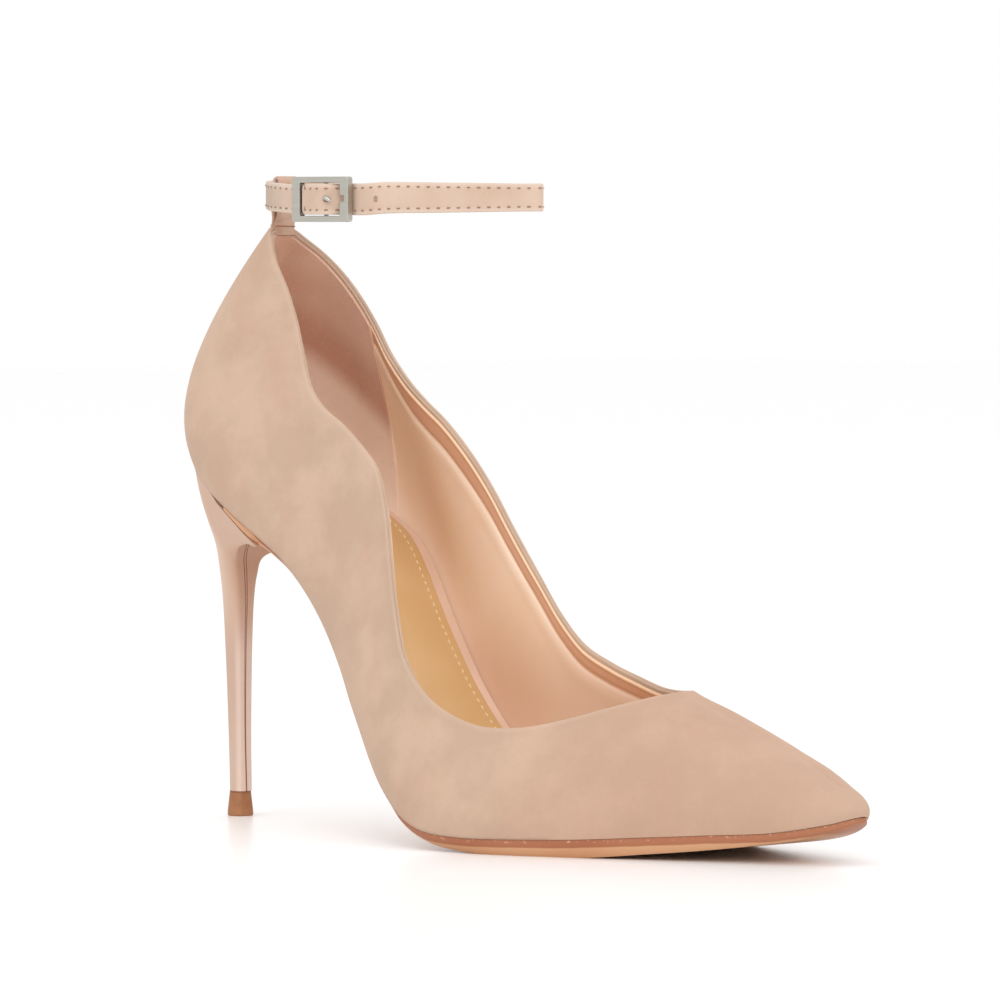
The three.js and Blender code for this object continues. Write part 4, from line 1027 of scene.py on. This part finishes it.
class PUMP_OT_upper(bpy.types.Operator):
    """Build the suede upper, its folded facing, the lining and the heel grip."""

    bl_idname = "pump.upper"
    bl_label = "Upper"

    def execute(self, context):
        sizes = context.scene.pump_upper
        steps = sizes.steps
        rest = sizes.levels
        suede, facing = sizes.suede * 1000, sizes.facing * 1000
        shell = wall_sheet("upper_suede", (-SIDE_ROWS, SIDE_ROWS), steps,
                           [0, 0.25, 0.6, 1.1, 1.8, 2.8, 4.2, 6.2, 9.0], rest,
                           lambda d, row: 0 * d, lambda d, row: suede + 0 * d, SHELL_ROLL)
        finish(shell, suede_upper(), "upper")

        fold = wall_sheet("upper_facing", (-THROAT_ROW, THROAT_ROW), steps,
                          [0.1, 0.25, 0.45, 0.7, 0.95, facing], 1,
                          lambda d, row: suede + FACING["from"] + 0 * d,
                          lambda d, row: suede + FACING["to"] + 0 * d, FACING["roll"])
        keep_above(fold, facing)
        finish(fold, suede_upper())

        rows = sizes.grip_rows

        def hump(past, wide):
            return np.exp(-(past / wide) ** 2)

        def crease(row):
            """Depth of the soft crease that runs along under the topline."""
            return np.interp(row, [r["row"] for r in CREASE], [r["depth"] for r in CREASE])

        def lining_face(d, row):
            """The lining with its lip, and the crease with the leather swelling below it."""
            lip = hump(d - facing - LIP["at"], LIP["wide"]) * np.clip(row - rows, 0, 1)
            past = d - crease(row)
            return (LINING["face"] + LIP["high"] * lip
                    - GROOVE["deep"] * hump(past, GROOVE["wide"])
                    + SWELL["high"] * hump(past - SWELL["at"], SWELL["wide"]))

        near = [facing + d for d in (-0.1, 0, 0.2, 0.45, 0.8, 1.4, 2.2, 2.9, 3.5, 4.1, 4.7, 5.3,
                                     6.0, 6.8, 8.0, 9.5)]
        lining = wall_sheet("lining", (-SIDE_ROWS, SIDE_ROWS), steps, near, rest,
                            lambda d, row: suede + LINING["from"] + 0 * d, lining_face,
                            LINING["roll"], start=near[0], fold=crease)
        finish(lining, lining_leather())

        grip = wall_sheet("heel_grip", (-rows, rows), steps, [0.95, 1.2, 1.8, 3.0, 5.0, 7.5], rest,
                          lambda d, row: GRIP["from"] + 0 * d,
                          lambda d, row: GRIP["face"] + 0 * d, GRIP["roll"])
        finish(grip, heel_grip())
        return {"FINISHED"}


def keep_above(piece, depth):
    """Drop the part of a wall sheet that lies deeper than depth."""
    work = bmesh.new()
    work.from_mesh(piece.data)
    layer = work.verts.layers.float["below"]
    gone = [v for v in work.verts if v[layer] > depth + 0.05]
    bmesh.ops.delete(work, geom=gone, context="VERTS")
    holes = [e for e in work.edges if e.is_boundary]
    bmesh.ops.bridge_loops(work, edges=holes)
    bmesh.ops.recalc_face_normals(work, faces=work.faces)
    work.to_mesh(piece.data)
    work.free()


class PUMP_OT_soles(bpy.types.Operator):
    """Build the outsole, the insole and the sock with its stitches."""

    bl_idname = "pump.soles"
    bl_label = "Soles"

    def execute(self, context):
        sizes = context.scene.pump_sole
        count = sizes.stations
        self.outsole(count)
        soft = sizes.soft * 1000
        insole = plate("insole", INSOLE_FROM, INSOLE_TO, count, INSOLE_INSET, INSOLE_INSET, 0,
                       INSOLE_THICK, soft)
        finish(insole, insole_cover(), "insole")
        low = INSOLE_THICK + GAP
        sock = plate("sock", SOCK_FROM, SOCK_TO, count, WALL + SOCK_OUTER, WALL + SOCK_INNER, low - 0.25,
                     low + SOCK_THICK, soft)
        finish(sock, sock_leather(), "sock")
        margin = sizes.sock_margin * 1000
        paths = []
        for side, inset in ((-1, WALL + SOCK_OUTER + margin), (1, WALL + SOCK_INNER + margin)):
            edge = edge_line(side, lambda x, inset=inset: inset)
            paths.append([vec(x, edge(x), feather_z(x) + low + SOCK_THICK + THREAD_PROUD)
                          for x in np.linspace(SOCK_STITCH_FROM, SOCK_STITCH_TO, 240)])
        cream = thread("polyester_thread_cream", "#e6cf9f", "#f1dfb8")
        seam = stitches("sock_stitches", paths, sizes.sock_stitch, sizes.sock_stitch * 0.6,
                        0.00045, 3, cream)
        finish(seam, None)
        return {"FINISHED"}

    def outsole(self, count):
        """The outsole: upright waxed strip, rounded bevel, flat underside."""
        def inset(x):
            return column(SOLE_INSET, "x", "inset", x)

        out_edge, in_edge = edge_line(-1, inset), edge_line(1, inset)
        rings, facts = [], []
        half = count // 2
        places = list(stations(SOLE_BACK, FLAT_FROM, half, False, False))
        places += list(stations(FLAT_FROM, SOLE_TIP, half, False, True))[1:]
        for x in places:
            out, inn = out_edge(x), in_edge(x)
            top = feather_z(x) - GAP
            low = min(sole_z(x), top - SOLE_LEAST)
            edge = max(top - EDGE_HEIGHT, low + 0.3 * (top - low))
            on_heel = min(max((HEEL_FRONT + 1.5 - x) / 4, 0), 1)
            bevel = min(SOLE_BEVEL, (top - low) * 0.55, (inn - out) * 0.2) * (1 - 0.9 * on_heel)
            side = [(0.0, top + SOLE_TUCK), (0.0, top), (0.0, (top + edge) / 2), (0.0, edge)]
            for t in (0.25, 0.5, 0.75, 1.0):
                side.append((bevel * t ** 1.6, edge + (low - edge) * t))
            ring = [vec(x, out + a, z) for a, z in side]
            ring += [vec(x, inn - a, z) for a, z in reversed(side)]
            rings.append(ring)
            facts += [top - z + SOLE_PALE * on_heel for _, z in side + side[::-1]]
        piece = loft("outsole", rings, {"down": facts})
        finish(piece, sole_leather(), "outsole")


class PUMP_OT_heel(bpy.types.Operator):
    """Build the covered heel with its breast seam, and the top piece."""

    bl_idname = "pump.heel"
    bl_label = "Heel"

    def execute(self, context):
        around = 26
        per_row = 7
        front_steps = 19

        def seat_z(x):
            seat = feather_z(x) - GAP
            if x < SOLE_BACK - SEAT_STEP:
                return seat
            return min(seat, min(sole_z(x), seat - SOLE_LEAST) - GAP)

        rows = [*HEEL, {"back_x": 0.9, "back_z": seat_z(0.9), "front_x": HEEL_FRONT,
                        "front_z": seat_z(HEEL_FRONT), "half": 24, "breast": 1, "scoop": 7,
                        "seat": 1}]
        rows = [dict(r, at=k) for k, r in enumerate(rows)]
        seats = {side: edge_line(side, lambda x: 0.4) for side in (-1, 1)}
        names = ("back_x", "back_z", "front_x", "front_z", "half", "breast", "scoop", "seat")
        top_row = rows[-1]

        def ring_row(at):
            return {k: column(rows, "at", k, at) for k in names}

        def place(row, q, side):
            turn = (1 - math.cos(math.pi * q)) / 2
            x = row["back_x"] + (row["front_x"] - row["back_x"]) * turn
            if q < 0.5:
                rounded = math.sin(math.pi * q)
            else:
                rounded = 1 - (1 - row["breast"]) * ((q - 0.5) * 2) ** 2
            seat_x = top_row["back_x"] + (HEEL_FRONT - top_row["back_x"]) * turn
            seat_y = abs(seats[side](max(seat_x, 0.95)))
            y = side * (row["half"] * rounded * (1 - row["seat"])
                        + seat_y * row["seat"] * (row["half"] / 24))
            part = (x - row["back_x"]) / (row["front_x"] - row["back_x"])
            straight = row["back_z"] + (row["front_z"] - row["back_z"]) * part
            level = top_row["back_z"] + (top_row["front_z"] - top_row["back_z"]) * part
            return vec(x, y, straight + row["seat"] * (seat_z(seat_x) - level))

        def breast(row, across):
            """Point on the breast, from the outer corner to the inner one."""
            corner = place(row, 1, -1), place(row, 1, 1)
            point = corner[0] * (1 - across) + corner[1] * across
            back = row["scoop"] * (1 - (2 * across - 1) ** 2)
            slope = (row["front_z"] - row["back_z"]) / (row["front_x"] - row["back_x"])
            return point - vec(back, 0, back * slope)

        def ring(at):
            row = ring_row(at)
            points = [place(row, (k + 0.35) / (around + 0.35), -1) for k in range(around)]
            points += [breast(row, k / front_steps) for k in range(front_steps + 1)]
            points += [place(row, (k + 0.35) / (around + 0.35), 1)
                       for k in range(around - 1, -1, -1)]
            return points

        last = len(rows) - 1
        rings = [ring(at) for at in np.linspace(0, last, last * per_row + 1)]
        finish(loft("heel", rings, sharp=48), heel_cover(), "heel")

        for name, side in (("heel_seam_outer", -1), ("heel_seam_inner", 1)):
            path = []
            for at in np.linspace(0, 6.6, 80):
                row = ring_row(at)
                z = row["front_z"]
                y = (column(HEEL_SEAM, "z", "y", min(z, 72))
                     + side * column(HEEL_SEAM, "z", "apart", min(z, 72)) / 2)
                width = abs(place(row, 1, -1)[1])
                path.append(breast(row, min(max((y + width) / (2 * width), 0), 1)))
            path = np.array(path) + vec(0.02, 0, 0)
            seam = tube(path, [HEEL_SEAM_RADIUS] * len(path), name, 6)
            finish(seam, glue_line())
        self.top_piece()
        return {"FINISHED"}

    def top_piece(self):
        """The heel's tip: flat under, flared slightly, with a soft edge."""
        rings = []
        for row in TOP_PIECE_RINGS:
            grow = row["grow"]
            ring = []
            for k in range(40):
                angle = k / 40 * 2 * math.pi
                x = min(math.cos(angle) * TOP_PIECE["long"], TOP_PIECE["front"])
                y = math.sin(angle) * TOP_PIECE["half"]
                ring.append(vec(TOP_PIECE["x"] + x * grow, y * grow, row["z"]))
            rings.append(ring)
        finish(loft("top_piece", rings, sharp=30), top_piece_polymer(), "top_piece")
        line = [vec(TOP_PIECE["x"] + min(math.cos(a) * TIP_SEAM["long"], TIP_SEAM["front"]),
                    math.sin(a) * TIP_SEAM["long"], TIP_SEAM["z"])
                for a in np.linspace(0, 2 * math.pi, 49)]
        finish(tube(line, [TIP_SEAM["radius"]] * len(line), "tip_seam", 6), glue_line())


class PUMP_OT_strap(bpy.types.Operator):
    """Build the ankle strap with its holes and stitches, and the tab at the collar."""

    bl_idname = "pump.strap"
    bl_label = "Strap"

    def execute(self, context):
        sizes = context.scene.pump_strap
        steps = sizes.steps

        def back_lift(x):
            return STRAP_LIFT * math.exp(-((x - STRAP_LIFT_AT) / STRAP_LIFT_OVER) ** 2)

        rows = [dict(point=at_buckle(r["s"], r["n"]), **r) for r in STRAP_START]
        rows += [dict(point=vec(r["x"], r["y"], STRAP_Z + back_lift(r["x"])), thick=STRAP_THICK, **r)
                 for r in STRAP_ROUND]
        rows += [dict(point=at_buckle(r["s"], r["n"]), **r) for r in STRAP_END]
        points = [r["point"] for r in rows]
        last = len(rows) - 1
        places = list(np.linspace(0, 1, last * steps + 1))
        places += [1 - k * 0.0012 for k in (0.2, 0.5, 1, 1.7, 2.6)]
        places = sorted(places)
        path = np.array([through(points, t) for t in places])
        length = np.concatenate([[0], np.cumsum(np.linalg.norm(np.diff(path, axis=0), axis=1))])
        ahead = np.array([through(points, min(t + 5e-4, 1)) - through(points, max(t - 5e-4, 0))
                          for t in places])
        ahead[:, 2] = 0
        ahead = unit(ahead)
        outward = np.stack([ahead[:, 1], -ahead[:, 0], 0 * ahead[:, 0]], axis=1)

        def at(t, name):
            place = t * last
            i = min(int(place), last - 1)
            return rows[i][name] * (1 - place + i) + rows[i + 1][name] * (place - i)

        rings, facts, front, back = [], [], [], []
        margin = sizes.margin * 1000
        for t, p, n, run in zip(places, path, outward, length):
            width, thick = at(t, "width"), at(t, "thick")
            left = length[-1] - run
            if left < TIP_CORNER:
                width -= 2 * (TIP_CORNER - math.sqrt(max(TIP_CORNER ** 2
                                                         - (TIP_CORNER - left) ** 2, 0)))
            ring = []
            for across, up in SECTION:
                ring.append(p + n * across * thick / 2 + vec(0, 0, up * width / 2))
                facts.append(abs(up))
            rings.append(ring)
            if run > STITCH_FROM and left > STITCH_END:
                inset = max(at(t, "width") / 2 - margin, 0.1)
                for up in (-1, 1):
                    front.append((up, p + n * (thick / 2 + THREAD_PROUD) + vec(0, 0, up * inset)))
                    back.append((up, p - n * (thick / 2 + THREAD_PROUD) + vec(0, 0, up * inset)))
        strap = loft("ankle_strap", rings, {"edge": facts}, sharp=60)
        hole = pipe("spare", at_buckle(SPARE_HOLE_AT, -4), at_buckle(SPARE_HOLE_AT, 4), STRAP_HOLE)
        slot = pipe("slot", at_buckle(PRONG_HOLE_AT, 1.2), at_buckle(PRONG_HOLE_AT, 5),
                    PRONG_SLOT["radius"])
        under_at = PRONG_HOLE_AT - PRONG_SLOT["back"]
        under = pipe("under", at_buckle(under_at, -0.2), at_buckle(under_at, 1.5),
                     PRONG_SLOT["under"])
        cut(strap, hole, slot, under)
        finish(strap, suede_strap(), "ankle_strap")

        paths = [[p for up, p in line if up == k] for line in (front, back) for k in (-1, 1)]
        end_s = STRAP_END[-1]["s"] + 1.3
        paths.append([at_buckle(end_s, column(
            [dict(r, s=-r["s"]) for r in STRAP_END], "s", "n", -end_s) + 0.7, 0.4 + up)
            for up in np.linspace(-2.8, 2.8, 12)])
        brown = thread("polyester_thread_brown", "#8a6452", "#a07d6a")
        seam = stitches("strap_stitches", paths, sizes.pitch, sizes.stitch, sizes.width, 7, brown)
        finish(seam, None)
        rim = ring_bar("hole_rim", at_buckle(SPARE_HOLE_AT, 0), HOLE_RIM["radius"],
                       HOLE_RIM["thick"])
        seat_on_strap(rim, path, outward)
        finish(rim, suede_strap())
        self.tab()
        return {"FINISHED"}

    def tab(self):
        """Folded leather loop behind the collar that carries the strap."""
        line = np.array(smooth_path(TAB, ("x", "y", "z"), 120))
        widths = np.interp(np.linspace(0, 1, 120), np.linspace(0, 1, len(TAB)),
                           [r["width"] for r in TAB])
        ahead = unit(np.gradient(line[:, [0, 2]], axis=0))
        rings = []
        for (x, y, z), width, (dx, dz) in zip(line, widths, ahead):
            ring = []
            for across, up in SECTION:
                past = (z - TAB_CREASE["z"] - TAB_CREASE["slant"] * up) / TAB_CREASE["wide"]
                crease = TAB_CREASE["deep"] * math.exp(-past ** 2)
                depth = across * TAB_LEATHER / 2 - crease * (across > 0)
                ring.append(vec(x + dz * depth, y + up * width / 2, z - dx * depth))
            rings.append(ring)
        finish(loft("strap_tab", rings, sharp=60), suede_tab(), "strap_tab")
        seam = [vec(TAB_SEAM["x"], y, TAB_SEAM["z"] - 0.02 * y)
                for y in np.linspace(TAB_SEAM["from"], TAB_SEAM["to"], 12)]
        finish(tube(seam, [TAB_SEAM["radius"]] * 12, "tab_seam", 6), glue_line())


# Section of a flat band with rounded edges: across its thickness, up its width
SECTION = [(1, -0.86), (1, -0.4), (1, 0), (1, 0.4), (1, 0.86), (0.86, 0.95), (0.4, 1), (-0.4, 1),
           (-0.86, 0.95), (-1, 0.86), (-1, 0.4), (-1, 0), (-1, -0.4), (-1, -0.86), (-0.86, -0.95),
           (-0.4, -1), (0.4, -1), (0.86, -0.95)]


def pipe(name, start, end, radius, sides=28):
    """A round bar between two points, used as a cutter or a pin."""
    along_line = unit(end - start)
    side = vec(0, 0, 1) if abs(along_line[2]) < 0.9 else vec(1, 0, 0)
    over = unit(np.cross(along_line, side))
    side = np.cross(over, along_line)
    rings = [[p + radius * (math.cos(a) * side + math.sin(a) * over)
              for a in np.linspace(0, 2 * math.pi, sides, endpoint=False)] for p in (start, end)]
    return loft(name, rings)


def ring_bar(name, middle, radius, thick, sides=32):
    """A thin ring in the strap's plane."""
    rings = []
    for a in np.linspace(0, 2 * math.pi, sides + 1):
        centre = middle + radius * (math.cos(a) * TURN + math.sin(a) * vec(0, 0, 1))
        out = unit(centre - middle)
        rings.append([centre + thick * (math.cos(b) * out + math.sin(b) * OUTWARDS)
                      for b in np.linspace(0, 2 * math.pi, 8, endpoint=False)])
    return loft(name, rings, sharp=60)


def seat_on_strap(piece, path, outward):
    """Move the hole's rim onto the strap's outer face."""
    target = at_buckle(SPARE_HOLE_AT, 0)
    near = int(np.argmin(np.linalg.norm((path - target)[:, :2], axis=1)
                         + 1000 * (outward[:, 1] > 0)))
    gap = float(np.dot(path[near] - target, outward[near])) + STRAP_THICK / 2 - HOLE_RIM["sunk"]
    for v in piece.data.vertices:
        v.co.x += outward[near][0] * gap / 1000
        v.co.y += outward[near][1] * gap / 1000


class PUMP_OT_buckle(bpy.types.Operator):
    """Build the buckle's frame with its pin and notch, and the prong."""

    bl_idname = "pump.buckle"
    bl_label = "Buckle"

    def execute(self, context):
        bevel = context.scene.pump_strap.bevel * 1000
        length, height = FRAME["length"] / 2, FRAME["height"] / 2
        outer = self.outline(length, height, FRAME["corner"])
        inner = self.outline(length - FRAME["end_bar"], height - FRAME["side_bar"],
                             FRAME["window"])
        low, high = FRAME["inner"], FRAME["outer"]
        points, size = [], 12
        for o, i in zip(outer, inner):
            inward = unit(i - o)
            width = float(np.linalg.norm(i - o))
            for across, n in ((0, low + bevel), (0, high - bevel), (0.3 * bevel, high - 0.3 * bevel),
                              (bevel, high), (width - bevel, high),
                              (width - 0.3 * bevel, high - 0.3 * bevel), (width, high - bevel),
                              (width, low + bevel), (width - 0.3 * bevel, low + 0.3 * bevel),
                              (width - bevel, low), (bevel, low),
                              (0.3 * bevel, low + 0.3 * bevel)):
                s, z = o + inward * across
                points.append(at_buckle(s, n, z))
        count = len(outer)
        faces = []
        for k in range(count):
            for j in range(size):
                a, b = k * size + j, k * size + (j + 1) % size
                c, d = (((k + 1) % count) * size + (j + 1) % size, ((k + 1) % count) * size + j)
                faces.append((a, b, c, d))
        buckle = made("buckle_frame", points, faces, sharp=20)
        corners = [at_buckle(s, n, z) for s in NOTCH["s"] for n in NOTCH["n"] for z in NOTCH["z"]]
        tool = made("notch", corners, [(0, 1, 3, 2), (4, 6, 7, 5), (0, 4, 5, 1), (2, 3, 7, 6),
                                       (0, 2, 6, 4), (1, 5, 7, 3)])
        cut(buckle, tool)
        buckle.data.set_sharp_from_angle(angle=math.radians(20))
        finish(buckle, plated_buckle(), "buckle_frame")
        reach = FRAME["height"] / 2 - FRAME["side_bar"] / 2
        pin = pipe("buckle_pin", at_buckle(PIN["s"], PIN["n"], -reach),
                   at_buckle(PIN["s"], PIN["n"], reach), PIN["radius"])
        finish(pin, plated_buckle())
        line = smooth_path(PRONG, ("s", "n", "z"), 40)
        thick = np.interp(np.linspace(0, 1, 40), np.linspace(0, 1, len(PRONG)),
                          [r["radius"] for r in PRONG])
        prong = tube([at_buckle(*p) for p in line], thick, "buckle_prong", 14)
        finish(prong, plated_buckle(), "buckle_prong")
        return {"FINISHED"}

    @staticmethod
    def outline(half_long, half_high, radius):
        """Rounded rectangle as matching points, corner by corner."""
        found = []
        for turn, (sx, sy) in enumerate(((1, 1), (-1, 1), (-1, -1), (1, -1))):
            for k in range(6):
                a = math.radians(turn * 90 + 18 * k)
                found.append(vec(sx * (half_long - radius) + radius * math.cos(a),
                                 sy * (half_high - radius) + radius * math.sin(a)))
        return found


class PUMP_OT_stage(bpy.types.Operator):
    """Lay the white floor, light it evenly and set the camera at the photo's angle."""

    bl_idname = "pump.stage"
    bl_label = "Stage"

    def execute(self, context):
        sizes = context.scene.pump_stage
        side = sizes.floor / 2
        mesh = bpy.data.meshes.new("floor")
        mesh.from_pydata([(-side, -side, 0), (side, -side, 0), (side, side, 0), (-side, side, 0)],
                         [], [(0, 1, 2, 3)])
        floor = bpy.data.objects.new("floor", mesh)
        mesh.materials.append(studio_floor())
        context.scene.collection.objects.link(floor)
        world = bpy.data.worlds.new("Studio")
        world.use_nodes = True
        world.node_tree.nodes["Background"].inputs["Color"].default_value = (1, 1, 1, 1)
        world.node_tree.nodes["Background"].inputs["Strength"].default_value = sizes.sky
        context.scene.world = world
        phi, tilt = sizes.azimuth, sizes.tilt
        right = vec(math.cos(phi), math.sin(phi), 0)
        up = vec(-math.sin(tilt) * math.sin(phi), math.sin(tilt) * math.cos(phi), math.cos(tilt))
        back = vec(math.sin(phi) * math.cos(tilt), -math.cos(phi) * math.cos(tilt), math.sin(tilt))
        target = vec(0, 0, SHOE_MIDDLE)
        powers = {"key": sizes.key, "top": sizes.key * TOP_SHARE, "fill": sizes.fill}
        for row in LAMPS:
            place = target + right * row["right"] + back * row["back"] + vec(0, 0, row["up"])
            lamp = bpy.data.lights.new(row["name"], "AREA")
            lamp.energy, lamp.size = powers[row["name"]], row["size"]
            holder = bpy.data.objects.new(row["name"], lamp)
            holder.location = place
            holder.rotation_euler = Vector(target - place).to_track_quat("-Z", "Y").to_euler()
            context.scene.collection.objects.link(holder)
        camera = bpy.data.cameras.new("camera")
        camera.sensor_width, camera.lens = 36.0, sizes.lens
        camera.clip_start, camera.clip_end = 0.1, 100
        holder = bpy.data.objects.new("camera", camera)
        turn = np.eye(4)
        turn[:3] = np.stack([right, up, back, CAMERA_AT], axis=1)
        holder.matrix_world = Matrix(turn.tolist())
        context.scene.collection.objects.link(holder)
        context.scene.camera = holder
        context.scene.view_settings.view_transform = "Standard"
        return {"FINISHED"}


class PUMP_PT_panel(bpy.types.Panel):
    """Settings and builders of the pump."""

    bl_idname = "PUMP_PT_panel"
    bl_label = "Ankle strap pump"
    bl_space_type = "VIEW_3D"
    bl_region_type = "UI"
    bl_category = "Pump"

    def draw(self, context):
        layout = self.layout
        for name, operators in (
                ("pump_upper", ("pump.upper",)), ("pump_sole", ("pump.soles", "pump.heel")),
                ("pump_strap", ("pump.strap", "pump.buckle")), ("pump_stage", ("pump.stage",))):
            box = layout.box()
            group = getattr(context.scene, name)
            for key in group.bl_rna.properties.keys():
                if key not in ("rna_type", "name"):
                    box.prop(group, key)
            for operator in operators:
                box.operator(operator)


GROUPS = {"pump_upper": PumpUpperSettings, "pump_sole": PumpSoleSettings,
          "pump_strap": PumpStrapSettings, "pump_stage": PumpStageSettings}
CLASSES = (*GROUPS.values(), PUMP_OT_upper, PUMP_OT_soles, PUMP_OT_heel, PUMP_OT_strap,
           PUMP_OT_buckle, PUMP_OT_stage, PUMP_PT_panel)


def register():
    for item in CLASSES:
        bpy.utils.register_class(item)
    for name, group in GROUPS.items():
        setattr(bpy.types.Scene, name, bpy.props.PointerProperty(type=group))


def unregister():
    for name in GROUPS:
        delattr(bpy.types.Scene, name)
    for item in reversed(CLASSES):
        bpy.utils.unregister_class(item)


def main():
    register()
    bpy.ops.pump.upper()
    bpy.ops.pump.soles()
    bpy.ops.pump.heel()
    bpy.ops.pump.strap()
    bpy.ops.pump.buckle()
    bpy.ops.pump.stage()


if __name__ == "__main__":
    main()
